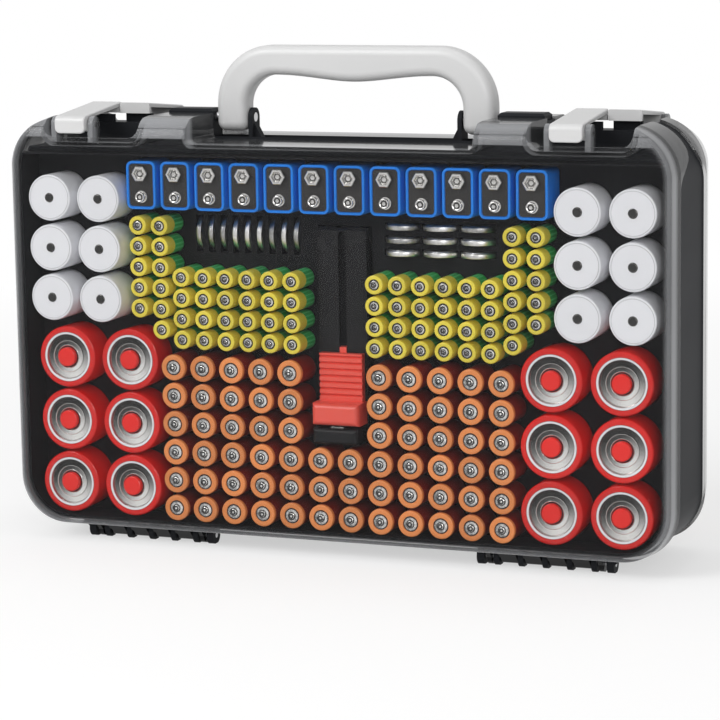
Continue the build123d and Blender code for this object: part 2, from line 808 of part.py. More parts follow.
with BuildPart() as body_frame:
    with BuildSketch(facing(body_rear)):
        case_outline(body_inset)
    extrude(amount=body_front + body_rear)
    with BuildSketch(section(0)):
        with BuildLine():
            Polyline(
                (body_rear, bend_bottom),
                (body_rear, 0),
                (-body_front, 0),
                (-body_front, bend_bottom),
            )
            parting_line(-1, body_front, rib_half)
            Polyline(
                (-rib_half, bend_top),
                (-rib_half, 2 * case_top),
                (rib_half, 2 * case_top),
                (rib_half, bend_top),
            )
            parting_line(1, body_rear, rib_half)
        make_face()
    extrude(amount=lid_half_width, both=True, mode=Mode.INTERSECT)
    # Shoulder and deck, which the lids' tops lap over.
    with BuildSketch(facing(body_rear)):
        case_outline(shoulder_inset)
        with Locations((0, deck_top + case_top / 2)):
            Rectangle(2 * lid_half_width, case_top, mode=Mode.SUBTRACT)
    extrude(amount=body_front + body_rear)
    with BuildSketch(facing(body_rear)):
        inner_outline(0)
    extrude(amount=body_front + body_rear, mode=Mode.SUBTRACT)
    # The middle rib, lowered under the handle and the latches, and raised between them.
    with BuildSketch(facing(rib_half)):
        with Locations((0, handle_floor - rib_drop + case_top / 2)):
            Rectangle(2 * (handle_notch + notch_fit), case_top)
        for side in (-1, 1):
            with Locations((side * (latch_notch_inner + latch_notch_outer) / 2, catch_base + case_top / 2)):
                Rectangle(latch_notch_outer - latch_notch_inner, case_top)
    extrude(amount=2 * rib_half, mode=Mode.SUBTRACT)
    raised_inner = handle_notch + notch_fit
    for side in (-1, 1):
        with BuildSketch(Plane.XY.offset(rib_top - lid_wall)):
            with Locations((side * (raised_inner + raised_rib_outer) / 2, 0)):
                Rectangle(raised_rib_outer - raised_inner, 2 * rib_half)
        extrude(amount=raised_top - rib_top + lid_wall)
    raised_faces = body_frame.faces().filter_by(Axis.Z).group_by(Axis.Z)[-1]
    chamfer(raised_faces.edges(), raised_rib_edge)
    # Catches for the latches, front and rear.
    for across in front_latches:
        for turn in (-1, 1):
            with BuildSketch(Plane.XY.offset(catch_base - seat)):
                with Locations((-turn * across, turn * (catch_setback + catch_thickness / 2))):
                    Rectangle(latch_width - catch_setback, catch_thickness)
            extrude(amount=catch_height + seat)
    # Ears for the handle's pins, each with a brace towards the middle.
    ear_middle = handle_half_width - handle_leg - handle_ear_gap - handle_ear_thickness / 2
    for side in (-1, 1):
        with BuildSketch(section(side * ear_middle - handle_ear_thickness / 2)):
            with Locations((0, handle_pivot_z)):
                Circle(handle_ear_radius)
            with Locations((0, (handle_pivot_z + deck_top) / 2)):
                Rectangle(2 * handle_ear_radius, handle_pivot_z - deck_top)
        extrude(amount=handle_ear_thickness)
        ear_inner = side * (ear_middle - handle_ear_thickness / 2)
        with BuildSketch(facing(handle_brace_thickness / 2)):
            with BuildLine():
                Polyline(
                    (ear_inner, handle_pivot_z - handle_brace_drop),
                    (ear_inner, deck_top),
                    (ear_inner - side * handle_ear_brace, deck_top),
                    (ear_inner - side * handle_ear_brace, handle_floor - rib_drop),
                    close=True,
                )
            make_face()
        extrude(amount=handle_brace_thickness)
    with BuildSketch(section(0)):
        with Locations((0, handle_pivot_z)):
            Circle(handle_pin_radius + press_fit)
    extrude(amount=raised_inner + handle_pin_bite + seat, both=True, mode=Mode.SUBTRACT)
    # Hinge knuckles, which are also the feet, with a gusset at each outer end.
    for x, y in hinge_places:
        outward = 1 if x > 0 else -1
        for offset in knuckles:
            knuckle(x + offset, y, knuckle_thickness)
        for offset in (-end_ear_offset, end_ear_offset):
            knuckle(x + offset, y, end_ear_thickness)
        gusset_x = x + outward * (end_ear_offset + end_ear_thickness / 2)
        gusset_top = case_bottom + body_inset + parting_gap
        with BuildSketch(facing(y + knuckle_neck / 2)):
            with BuildLine():
                Polyline(
                    (gusset_x, hinge_axis_height),
                    (gusset_x, gusset_top),
                    (gusset_x + outward * knuckle_neck, gusset_top),
                    close=True,
                )
            make_face()
        extrude(amount=knuckle_neck)
    # Lugs that the trays are screwed to.
    with BuildSketch(facing(lug_back)):
        for side in (-1, 1):
            for z in (low_screw_z, middle_screw_z, high_screw_z):
                lug_inner = side_screw_x - lug_edge
                lug_outer = inner_half_width + body_wall / 2
                with Locations((side * (lug_inner + lug_outer) / 2, z)):
                    Rectangle(lug_outer - lug_inner, 2 * lug_half_height)
            lug_low = top_screw_z - lug_edge
            lug_high = inner_top + deck / 2
            with Locations((side * top_screw_x, (lug_low + lug_high) / 2)):
                Rectangle(2 * lug_half_height, lug_high - lug_low)
        with Locations(*screw_places):
            Circle(screw_hole, mode=Mode.SUBTRACT)
    extrude(amount=lug_back - lug_front)
finish(body_frame, "body_frame")


# ---------------------------------------------------------------- lids
def lid_block(inset, parting, flare):
    """The lid's outside, or its room when inset by the wall, before the side view cuts it."""
    with BuildSketch(facing(-top_parting)) as straight:
        case_outline(inset)
    extrude(straight.sketch, amount=parting - top_parting)
    with BuildSketch(facing(-parting)) as wide:
        case_outline(inset)
    with BuildSketch(facing(-face_distance + inset)) as narrow:
        case_outline(inset + flare)
    loft([wide.sketch, narrow.sketch], ruled=True)


def lid_side(inset, parting, shut):
    """The lid from the side: flat face, curved top edge and, where shut, the bent parting."""
    curve = top_curve - inset
    front = -face_distance + inset
    top = case_top - inset
    with BuildSketch(section(0)) as side_view:
        with BuildLine():
            if shut:
                Polyline((front, 0), (-parting, 0), (-parting, bend_bottom))
                parting_line(-1, parting, top_parting)
                Polyline((-top_parting, bend_top), (-top_parting, top), (front + curve, top))
            else:
                Polyline((front, 0), (0, 0), (0, top), (front + curve, top))
            RadiusArc((front + curve, top), (front, top - curve), -curve)
            Line((front, top - curve), (front, 0))
        make_face()
    extrude(side_view.sketch, amount=lid_half_width, both=True, mode=Mode.INTERSECT)


def make_lid(parting, flare):
    """A clear lid, built as the front one, with its latch ears and hinge barrels."""
    axis_y = -(parting - hinge_setback)
    with BuildPart() as room:
        lid_block(lid_wall, parting, flare)
        lid_side(lid_wall, parting, False)
        with BuildSketch(facing(0)):
            notch_outline(lid_wall, handle_floor)
        extrude(amount=face_distance, mode=Mode.SUBTRACT)
    with BuildPart() as lid:
        lid_block(0, parting, flare)
        fillet(lid.faces().sort_by(Axis.Y)[0].edges(), face_edge)
        lid_side(0, parting, True)
        add(room.part, mode=Mode.SUBTRACT)
        with BuildSketch(facing(0)):
            notch_outline(0, latch_floor)
        extrude(amount=face_distance, mode=Mode.SUBTRACT)
        with BuildSketch(facing(0)):
            notch_outline(0, handle_floor)
        extrude(amount=face_distance - lid_wall, mode=Mode.SUBTRACT)
        for across in front_latches:
            for side in (-1, 1):
                ear_inner = across + side * (latch_width / 2 + latch_ear_gap + latch_ear_thickness / 2)
                with BuildSketch(section(ear_inner - latch_ear_thickness / 2)):
                    with Locations((latch_pivot_y, latch_pivot_z)):
                        Circle(latch_ear_radius)
                    with Locations((latch_pivot_y, (latch_pivot_z + lid_floor) / 2)):
                        Rectangle(2 * latch_ear_radius, latch_pivot_z - lid_floor)
                    with Locations((latch_pivot_y, latch_pivot_z)):
                        Circle(latch_pin_radius + press_fit, mode=Mode.SUBTRACT)
                extrude(amount=latch_ear_thickness)
        barrel = knuckle_pitch - knuckle_thickness - 2 * barrel_gap
        gaps = [((a + b) / 2, barrel, barrel_radius) for a, b in zip(knuckles, knuckles[1:])]
        ears = [(side * lid_ear_offset, lid_ear_thickness, lid_ear_radius) for side in (-1, 1)]
        for hinge_x in (-hinge_across, hinge_across):
            for offset, thickness, radius in gaps + ears:
                with BuildSketch(section(hinge_x + offset - thickness / 2)):
                    with BuildLine():
                        Polyline(
                            (axis_y, hinge_axis_height + barrel_radius),
                            (-parting - web_lap, case_bottom + web_bite),
                            (-parting - web_reach, case_bottom + web_bite),
                            (-parting - web_reach + web_slope, case_bottom + web_bite / 2),
                            (axis_y - web_waist * barrel_radius, hinge_axis_height - web_waist * barrel_radius),
                            (axis_y, hinge_axis_height),
                            close=True,
                        )
                    make_face()
                    with Locations((axis_y, hinge_axis_height)):
                        Circle(radius)
                        Circle(hinge_pin_radius + running_fit, mode=Mode.SUBTRACT)
                extrude(amount=thickness)
    return lid


front_lid = make_lid(front_parting, front_flare)
finish(front_lid, "front_lid")
with BuildPart() as rear_lid:
    add(make_lid(rear_parting, rear_flare).part.rotate(Axis.Z, 180))
finish(rear_lid, "rear_lid")

# ---------------------------------------------------------------- hinge pins
hinge_pin_half = end_ear_offset + end_ear_thickness / 2
for end_name, axis_y in (("front", front_axis), ("rear", rear_axis)):
    for side_name, across in (("left", -hinge_across), ("right", hinge_across)):
        with BuildPart() as hinge_pin:
            with BuildSketch(section(across - hinge_pin_half)):
                with Locations((axis_y, hinge_axis_height)):
                    Circle(hinge_pin_radius)
            extrude(amount=2 * hinge_pin_half)
        finish(hinge_pin, f"{end_name}_hinge_pin_{side_name}")

# ---------------------------------------------------------------- latches
latch_half = latch_width / 2
tooth_low = catch_base + catch_height + latch_clearance
ear_outer = latch_half + latch_ear_gap + latch_ear_thickness


def make_latch(across):
    """A lever of a front latch: skirt, barrel round the pin, plate and tooth."""
    y = latch_pivot_y
    z = latch_pivot_z
    skirt_y = y - latch_skirt_reach
    plate_high = z + latch_rise
    plate_low = z + latch_start_rise
    with BuildPart() as latch:
        with BuildSketch(section(across - latch_half)):
            with BuildLine():
                FilletPolyline(
                    (skirt_y, z - latch_skirt_drop),
                    (skirt_y, plate_low - latch_plate / 2),
                    (latch_overhang, plate_high),
                    radius=latch_bend,
                )
                Polyline(
                    (latch_overhang, plate_high),
                    (latch_overhang, tooth_low),
                    (latch_overhang - latch_tooth, tooth_low),
                    (latch_overhang - latch_tooth, plate_high - latch_plate),
                    (skirt_y + latch_plate + latch_bend, plate_low - latch_plate),
                    (skirt_y + latch_plate, plate_low - latch_plate - latch_bend),
                    (skirt_y + latch_plate, z - latch_skirt_drop),
                    (skirt_y, z - latch_skirt_drop),
                )
            make_face()
            with Locations((y, z)):
                Circle(latch_barrel_radius)
            with Locations((y, (z + plate_low - latch_plate / 2) / 2)):
                Rectangle(2 * latch_barrel_radius, plate_low - latch_plate / 2 - z)
            with Locations((y, z)):
                Circle(latch_pin_radius + running_fit, mode=Mode.SUBTRACT)
        extrude(amount=latch_width)
        fillet(latch.edges().filter_by(Axis.Y).sort_by(Axis.Z)[:2], latch_corner)
        fillet([end.edges().sort_by(Axis.Z)[-1] for end in latch.faces().filter_by(Axis.X)], latch_edge)
    return latch


def make_latch_pin(across):
    """A latch's pin, which ends flush with the lid's ears."""
    with BuildPart() as latch_pin:
        with BuildSketch(section(across - ear_outer)):
            with Locations((latch_pivot_y, latch_pivot_z)):
                Circle(latch_pin_radius)
        extrude(amount=2 * ear_outer)
    return latch_pin


for side_name, across in (("right", front_latches[0]), ("left", front_latches[1])):
    finish(make_latch(across), f"front_latch_{side_name}")
    finish(make_latch_pin(across), f"front_latch_pin_{side_name}")
for side_name, across in (("left", front_latches[0]), ("right", front_latches[1])):
    with BuildPart() as rear_latch:
        add(make_latch(across).part.rotate(Axis.Z, 180))
    finish(rear_latch, f"rear_latch_{side_name}")
    with BuildPart() as rear_latch_pin:
        add(make_latch_pin(across).part.rotate(Axis.Z, 180))
    finish(rear_latch_pin, f"rear_latch_pin_{side_name}")

# ---------------------------------------------------------------- handle
leg_inner = handle_half_width - handle_leg
handle_foot_z = handle_pivot_z - handle_foot_drop
grip_under = handle_top_z - grip_thickness
outer_turn = handle_top_z - handle_outer_radius
inner_turn = grip_under - handle_inner_radius
with BuildPart() as handle:
    with BuildSketch(facing(handle_depth / 2)):
        with BuildLine():
            Line((-handle_half_width, handle_foot_z), (-handle_half_width, outer_turn))
            RadiusArc(
                (-handle_half_width, outer_turn),
                (-handle_half_width + handle_outer_radius, handle_top_z),
                handle_outer_radius,
            )
            Line(
                (-handle_half_width + handle_outer_radius, handle_top_z),
                (handle_half_width - handle_outer_radius, handle_top_z),
            )
            RadiusArc(
                (handle_half_width - handle_outer_radius, handle_top_z),
                (handle_half_width, outer_turn),
                handle_outer_radius,
            )
            Polyline(
                (handle_half_width, outer_turn),
                (handle_half_width, handle_foot_z),
                (leg_inner, handle_foot_z),
                (leg_inner, inner_turn),
            )
            RadiusArc(
                (leg_inner, inner_turn),
                (leg_inner - handle_inner_radius, grip_under),
                -handle_inner_radius,
            )
            Spline(
                (leg_inner - handle_inner_radius, grip_under),
                (0, grip_under - grip_swell),
                (handle_inner_radius - leg_inner, grip_under),
                tangents=[(-1, 0), (-1, 0)],
            )
            RadiusArc(
                (handle_inner_radius - leg_inner, grip_under),
                (-leg_inner, inner_turn),
                -handle_inner_radius,
            )
            Polyline(
                (-leg_inner, inner_turn),
                (-leg_inner, handle_foot_z),
                (-handle_half_width, handle_foot_z),
            )
        make_face()
    extrude(amount=handle_depth)
    fillet(handle.edges(), handle_edge)
    with BuildSketch(section(0)):
        with Locations((0, handle_pivot_z)):
            Circle(handle_pin_radius + running_fit)
    extrude(amount=handle_half_width, both=True, mode=Mode.SUBTRACT)
finish(handle, "handle")

handle_pin_inner = ear_middle - handle_ear_thickness / 2
handle_pin_outer = raised_inner + handle_pin_bite
for side_name, side in (("left", -1), ("right", 1)):
    with BuildPart() as handle_pin:
        with BuildSketch(section(side * (handle_pin_inner + handle_pin_outer) / 2)):
            with Locations((0, handle_pivot_z)):
                Circle(handle_pin_radius)
        extrude(amount=(handle_pin_outer - handle_pin_inner) / 2, both=True)
    finish(handle_pin, f"handle_pin_{side_name}")

# ---------------------------------------------------------------- tester
slot_neck_back = tester_face + slot_depth - slot_foot_depth
slot_back = tester_face + slot_depth
slot_low = tester_bottom + slot_bottom
slot_high = tester_top - slot_top_wall
foot_front = tester_face - foot_reach
foot_high = tester_bottom + foot_top


def upright_box(half_width, front, back, low, high, mode=Mode.ADD):
    """A block centred on X, from its front to its back and from low to high."""
    with BuildSketch(facing(back)) as front_view:
        with Locations((0, (low + high) / 2)):
            Rectangle(2 * half_width, high - low)
    extrude(front_view.sketch, amount=back - front, mode=mode)


with BuildPart() as tester_body:
    upright_box(tester_half_width, tester_face, tester_back, tester_bottom, tester_top)
    chamfer(tester_body.faces().sort_by(Axis.Y)[0].edges().sort_by(Axis.Z)[-1], tester_edge)
    upright_box(foot_half_width, foot_front, tester_face, tester_bottom, foot_high)
    fillet(tester_body.faces().sort_by(Axis.Y)[0].edges(), foot_edge)
    upright_box(slot_half_width, tester_face, slot_back, slot_low, slot_high, Mode.SUBTRACT)
    upright_box(slot_foot_half_width, slot_neck_back, slot_back, slot_low, slot_high, Mode.SUBTRACT)
    upright_box(
        tester_half_width - tester_cavity_wall,
        tester_back - tester_cavity_depth,
        tester_back,
        tester_bottom + tester_cavity_wall,
        tester_top - tester_cavity_wall,
        Mode.SUBTRACT,
    )
finish(tester_body, "tester_body")

board_front = tester_back - tester_cavity_depth + seat
board_low = tester_bottom + tester_cavity_wall + board_margin
with BuildPart() as tester_board:
    upright_box(
        tester_half_width - tester_cavity_wall - board_margin,
        board_front,
        board_front + board_thickness,
        board_low,
        board_low + board_height,
    )
finish(tester_board, "tester_board")

contact_front = foot_front + contact_inset + foot_edge
with BuildPart() as tester_contact:
    upright_box(
        contact_width / 2,
        contact_front,
        contact_front + contact_depth,
        foot_high,
        foot_high + contact_thickness,
    )
finish(tester_contact, "tester_contact")

slider_back = tester_face - slide_fit
nose_front = tester_face - nose_reach
nose_top = slider_bottom + nose_height
ribbed_front = tester_face - ribbed_reach
with BuildPart() as tester_slider:
    upright_box(slider_half_width, nose_front, slider_back, slider_bottom, nose_top)
    fillet(tester_slider.faces().sort_by(Axis.Y)[0].edges(), nose_edge)
    upright_box(slider_neck_half_width, ribbed_front, slider_back, nose_top - seat, slider_top)
    for i in range(rib_count):
        rib_z = slider_top - rib_pitch * (i + 0.5)
        with BuildSketch(section(0)):
            with BuildLine():
                Polyline(
                    (ribbed_front, rib_z + rib_cut / 2),
                    (ribbed_front + rib_cut, rib_z),
                    (ribbed_front, rib_z - rib_cut / 2),
                    close=True,
                )
            make_face()
        extrude(amount=slider_half_width, both=True, mode=Mode.SUBTRACT)
    tongue_low = slider_bottom + tongue_inset
    tongue_high = slider_top + tongue_above
    upright_box(
        slot_half_width - slide_fit,
        slider_back - slide_fit,
        slot_back - slide_fit,
        tongue_low,
        tongue_high,
    )
    upright_box(
        slot_foot_half_width - slide_fit,
        slot_neck_back + slide_fit,
        slot_back - slide_fit,
        tongue_low,
        tongue_high,
    )
    upright_box(
        contact_width / 2,
        contact_front,
        contact_front + contact_depth,
        slider_bottom,
        slider_bottom + contact_thickness,
        Mode.SUBTRACT,
    )
finish(tester_slider, "tester_slider")

with BuildPart() as slider_contact:
    upright_box(
        contact_width / 2,
        contact_front,
        contact_front + contact_depth,
        slider_bottom - contact_thickness / 2,
        slider_bottom + contact_thickness,
    )
finish(slider_contact, "slider_contact")
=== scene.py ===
import json
from math import atan2, pi, radians, tau
from random import Random

import bmesh
import bpy
from bpy.props import FloatProperty, FloatVectorProperty, PointerProperty
from mathutils import Matrix, Vector

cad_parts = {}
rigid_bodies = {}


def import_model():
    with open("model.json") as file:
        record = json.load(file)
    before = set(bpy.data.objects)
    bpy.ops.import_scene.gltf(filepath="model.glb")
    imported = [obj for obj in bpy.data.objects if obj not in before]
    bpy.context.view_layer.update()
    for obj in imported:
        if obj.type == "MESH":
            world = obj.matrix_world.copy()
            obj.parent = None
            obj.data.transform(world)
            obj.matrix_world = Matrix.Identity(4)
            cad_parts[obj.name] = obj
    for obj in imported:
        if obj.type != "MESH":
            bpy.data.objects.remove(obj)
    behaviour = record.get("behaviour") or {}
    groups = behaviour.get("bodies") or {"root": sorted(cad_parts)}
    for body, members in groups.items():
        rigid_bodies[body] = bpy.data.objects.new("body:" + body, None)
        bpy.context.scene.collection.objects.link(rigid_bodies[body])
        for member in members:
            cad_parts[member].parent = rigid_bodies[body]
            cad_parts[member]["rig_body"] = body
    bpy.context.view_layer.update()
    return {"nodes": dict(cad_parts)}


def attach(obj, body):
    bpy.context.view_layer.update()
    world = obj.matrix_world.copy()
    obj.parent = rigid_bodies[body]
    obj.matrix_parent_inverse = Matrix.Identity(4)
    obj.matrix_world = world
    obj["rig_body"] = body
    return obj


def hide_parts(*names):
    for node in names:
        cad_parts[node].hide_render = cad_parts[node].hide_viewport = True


bl_info = {
    "name": "Battery Carrying Case",
    "version": (1, 0, 0),
    "blender": (4, 5, 0),
    "location": "3D View > Sidebar > Battery Case",
    "description": "Dresses a two-sided battery case: clear lids, cells, latches, handle and a studio",
    "category": "Object",
}

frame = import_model()

MM = 0.001
ENDS = ("front", "rear")
SIDES = ("left", "right")

# Patterns on the surfaces, in features per metre.
FLOW_MARKS = 28
SPARK_GRAIN = 2600
LID_WAVES = 14
DRAWN_LINES = 260
METAL_STAIN = 90
# Dents on pressed steel; the same noise paints glints, a painted reflection, into its colour.
DENTS_AND_GLINTS = 620
FILM_RIPPLE = 140
STRIPED_RIPPLE = 160

# Depths from the case's middle where a clear lid's side wall and rounded shoulder begin and are full,
# where its inner face lies and where its outer face begins.
SIDE_WALL = (45.0 * MM, 41.0 * MM)
# The rounded shoulder carries the rim's painted highlight.
SHOULDER = (33.5 * MM, 38.5 * MM)
INNER_FACE = (43.6 * MM, 44.0 * MM)
OUTER_FACE = 45.85 * MM

# How far in from a lid's outline the painted highlight on the border of its face begins and is full.
BORDER = (6.2 * MM, 3.5 * MM)

# How late a clear lid turns solid towards its edges, and how much paler than its tint its rim's painted
# highlight is.
EDGE_RISE = 2.4
RIM_HIGHLIGHT = 8

# The camera at the photograph's viewing angle, in metres; its roll in degrees, its sensor in millimetres.
CAMERA_PLACE = (0.5690, -1.4525, 0.3583)
CAMERA_AHEAD = (-0.36008, 0.91876, -0.16196)
CAMERA_ROLL = 0.87
SENSOR_WIDTH = 36

# The middle of the case, which the lamps point at.
LAMPS_AIM = Vector((0, 0, 0.12))


# -------------------- shader tools
class Wire:
    """A shader socket. An expression on wires and numbers adds its Math nodes."""

    def __init__(self, nodes, socket):
        self.nodes = nodes
        self.socket = socket

    def maths(self, operation, first, second=0.0):
        return self.nodes.node("ShaderNodeMath", {"operation": operation}, {0: first, 1: second})

    def __add__(self, other):
        return self.maths("ADD", self, other)

    __radd__ = __add__

    def __sub__(self, other):
        return self.maths("SUBTRACT", self, other)

    def __rsub__(self, other):
        return self.maths("SUBTRACT", other, self)

    def __mul__(self, other):
        return self.maths("MULTIPLY", self, other)

    __rmul__ = __mul__

    def __pow__(self, other):
        return self.maths("POWER", self, other)

    def __gt__(self, other):
        return self.maths("GREATER_THAN", self, other)

    def __lt__(self, other):
        return self.maths("LESS_THAN", self, other)

    def sine(self):
        return self.maths("SINE", self)

    def size(self):
        """The value without its sign."""
        return self.maths("ABSOLUTE", self)

    def larger(self, other):
        """The larger of the two."""
        return self.maths("MAXIMUM", self, other)

    def above(self, floor):
        """How far it is above a value, and 0 below it."""
        return (self - floor).larger(0.0)

    def between(self, low, high):
        """1 between two values, and 0 outside them."""
        return (self > low) * (self < high)


class Nodes:
    """The shader nodes of a material or of the world."""

    def __init__(self, owner):
        owner.use_nodes = True
        self.tree = owner.node_tree
        self.tree.nodes.clear()

    def node(self, kind, settings=None, inputs=None, output=0):
        """Add a node with its settings and the values or links of its sockets, and return an output."""
        made = self.tree.nodes.new(kind)
        for key, value in (settings or {}).items():
            if key == "stops":
                ramp = made.color_ramp
                for position, shade in value[2:]:
                    ramp.elements.new(position)
                for element, (position, shade) in zip(ramp.elements, value):
                    element.position = position
                    element.color = (shade, shade, shade, 1)
            else:
                setattr(made, key, value)
        for key, value in (inputs or {}).items():
            if isinstance(value, Wire):
                self.tree.links.new(value.socket, made.inputs[key])
            else:
                made.inputs[key].default_value = value
        return Wire(self, made.outputs[output]) if len(made.outputs) else None

    def split(self, vector):
        """The three numbers of a vector."""
        parted = self.node("ShaderNodeSeparateXYZ", inputs={0: vector})
        return [Wire(self, socket) for socket in parted.socket.node.outputs]

    def rise(self, value, start, end, low=0.0, high=1.0):
        """From low at start to high at end, and level beyond them."""
        return self.node("ShaderNodeMapRange", inputs={0: value, 1: start, 2: end, 3: low, 4: high})

    def ray(self, question):
        """What the Light Path node says of a ray, such as Is Camera Ray."""
        return self.node("ShaderNodeLightPath", output=question)

    def blend(self, amount, first, second):
        """A mix of two shaders."""
        return self.node("ShaderNodeMixShader", inputs={0: amount, 1: first, 2: second})


class Finish(Nodes):
    """A material and the nodes that make it."""

    def __init__(self, name, preview):
        self.material = bpy.data.materials.new(name)
        self.material.diffuse_color = (*preview, 1)
        super().__init__(self.material)

    def place(self, stretch=(1, 1, 1)):
        """Object coordinates, stretched."""
        coordinates = self.node("ShaderNodeTexCoord", output="Object")
        return self.node("ShaderNodeMapping", inputs={"Vector": coordinates, "Scale": stretch})

    def noise(self, scale, detail=2.0, roughness=0.5, stretch=(1, 1, 1)):
        return self.node(
            "ShaderNodeTexNoise",
            inputs={"Vector": self.place(stretch), "Scale": scale, "Detail": detail, "Roughness": roughness},
        )

    def scuffs(self, scale, stretch):
        """Thin scattered scratches, 1 on a scratch."""
        streaks = self.noise(scale, detail=3.0, roughness=0.7, stretch=stretch)
        return self.node("ShaderNodeValToRGB", {"stops": [(0.66, 0.0), (0.72, 1.0)]}, {0: streaks})

    def mix(self, amount, first, second):
        """A mix of two colours."""
        return self.node(
            "ShaderNodeMix", {"data_type": "RGBA"}, {0: amount, 6: rgba(first), 7: rgba(second)}, output=2
        )

    def tone(self, colour, spread):
        """A colour that is a little lighter or darker from one cell to the next."""
        tone = self.node("ShaderNodeAttribute", {"attribute_name": "tone"}, output="Fac")
        return self.mix(tone, shaded(colour, 1 - spread), shaded(colour, 1 + spread))

    def around(self):
        """How far round its cell a point lies, from 0 to 1."""
        return self.split(self.node("ShaderNodeUVMap", {"uv_map": "wrap"}))[0]

    def relief(self, height, strength, depth):
        return self.node(
            "ShaderNodeBump", inputs={"Strength": strength, "Distance": depth, "Height": height}
        )

    def principled(self, **sockets):
        """The Principled shader with these sockets, named with _ for their spaces."""
        values = {key.replace("_", " "): value for key, value in sockets.items()}
        values["Base Color"] = rgba(values["Base Color"])
        return self.node("ShaderNodeBsdfPrincipled", inputs=values)

    def covered(self, shader):
        """The material, with this shader on its surface."""
        self.node("ShaderNodeOutputMaterial", inputs={0: shader})
        return self.material


def rgba(colour):
    """A colour as four numbers; a wire stays as it is."""
    return colour if isinstance(colour, Wire) else (*tuple(colour)[:3], 1.0)


def shaded(colour, share, lift=0.0):
    """A colour times a share, lifted a little, and no lighter than white."""
    return [min(1.0, channel * share + lift) for channel in colour]


# -------------------- finishes
def moulded(name, colour, roughness=0.42, grain=0.35, mottle=0.12, **sockets):
    """Moulded plastic: a fine spark-eroded grain, faint flow marks and a few scuffs."""
    finish = Finish(name, colour)
    flow = finish.noise(FLOW_MARKS, detail=3.0)
    pits = finish.noise(SPARK_GRAIN, detail=1.0)
    scuffs = finish.scuffs(scale=60, stretch=(1, 14, 1))
    shader = finish.principled(
        Base_Color=finish.mix(flow, shaded(colour, 1 - mottle), shaded(colour, 1 + mottle, 0.004)),
        Roughness=roughness - 0.06 + flow * 0.12 + scuffs * 0.06,
        Normal=finish.relief(pits, grain, depth=0.06 * MM),
        **sockets,
    )
    return finish.covered(shader)


def lid_zones(finish, look):
    """Masks over a clear lid: its rounded rim, which carries a painted highlight, its side walls and its
    hinge barrels.
    """
    across, depth, height = finish.split(finish.place())
    depth = depth.size()
    barrels = height < look.barrel_top
    beside = across.size().above(look.lid_half_width - look.lid_corner)
    beyond = (height - look.lid_middle).size().above(look.lid_half_height - look.lid_corner)
    inside = look.lid_corner - (beside * beside + beyond * beyond) ** 0.5
    shoulder = finish.rise(depth, *SHOULDER) * (depth < OUTER_FACE) * (1 - depth.between(*INNER_FACE))
    border = finish.rise(inside, *BORDER) * (depth > OUTER_FACE)
    rim = (shoulder + border) * (1 - barrels)
    return rim, finish.rise(depth, *SIDE_WALL), barrels


def clear_plastic(name, look):
    """Thin clear plastic: almost nothing face on, a glossy dark wall edge on, a painted highlight
    on the rounded rim, and solid hinge barrels.
    """
    finish = Finish(name, look.lid_tint)
    waves = finish.noise(LID_WAVES, detail=2.0)
    scuffs = finish.scuffs(scale=90, stretch=(1, 1, 9))
    rim, side_wall, barrels = lid_zones(finish, look)
    slant = finish.node("ShaderNodeLayerWeight", inputs={"Blend": 0.5}, output="Facing")
    cover = look.lid_face + scuffs * 0.02 + side_wall * look.lid_skirt
    cover = cover + (slant ** EDGE_RISE) * (look.lid_edge - look.lid_face) + rim * look.lid_rim_highlight + barrels
    shadow = finish.ray("Is Shadow Ray")
    dark = finish.mix(barrels, look.lid_tint, look.barrels)
    plastic = finish.principled(
        # The rim is paler than the tint and covers more: a painted highlight.
        Base_Color=finish.mix(rim * (0.35 + waves * 0.4), dark, shaded(look.lid_tint, RIM_HIGHLIGHT)),
        Roughness=look.lid_haze + waves * 0.04 + scuffs * 0.1,
        Normal=finish.relief(waves, 0.15, depth=0.4 * MM),
        Specular_IOR_Level=0.15,
    )
    open_air = finish.node("ShaderNodeBsdfTransparent")
    return finish.covered(finish.blend(cover * (1 - shadow * look.lid_lets_light), open_air, plastic))


def steel(name, colour, roughness=0.25, stretch=(1, 30, 30), strength=0.25):
    """Drawn or stamped metal with fine lines along one direction."""
    finish = Finish(name, colour)
    lines = finish.noise(DRAWN_LINES, detail=3.0, roughness=0.65, stretch=stretch)
    stain = finish.noise(METAL_STAIN, detail=2.0)
    shader = finish.principled(
        Base_Color=finish.mix(stain, shaded(colour, 0.86), colour),
        Metallic=1.0,
        Roughness=roughness - 0.05 + lines * 0.12,
        Normal=finish.relief(lines, strength, depth=0.04 * MM),
    )
    return finish.covered(shader)


def painted_reflection_steel(name, colour, deep=0.2, bright_at=0.25, flecks=0.3, roughness=0.2, narrow=1.0):
    """Pressed steel with a painted reflection: painted shade on one side of the cell's middle, a painted
    highlight on the other, and flecks of painted glint.

    bright_at says where round the cell the painted highlight lies: 0 left, 0.25 below, 0.5 right, 0.75 above.
    deep is the share of the colour left where the shade is painted, and flecks the weight of the glints.
    """
    finish = Finish(name, colour)
    # A painted reflection: bright towards bright_at, painted shade on the far side.
    painted_sheen = ((finish.around() - bright_at) * tau + pi / 2).sine() * 0.5 + 0.5
    # Its noise is a real bump of dents, and painted glints in the colour.
    dents_and_glints = finish.noise(DENTS_AND_GLINTS, detail=2.0)
    shade = (painted_sheen ** narrow) * (1 - flecks) + (dents_and_glints - 0.5) * (flecks * 4) + flecks * 0.5
    shader = finish.principled(
        Base_Color=finish.mix(shade, shaded(colour, deep), colour),
        Metallic=1.0,
        Roughness=roughness + dents_and_glints * 0.12,
        Normal=finish.relief(dents_and_glints, 0.2, depth=0.06 * MM),
    )
    return finish.covered(shader)


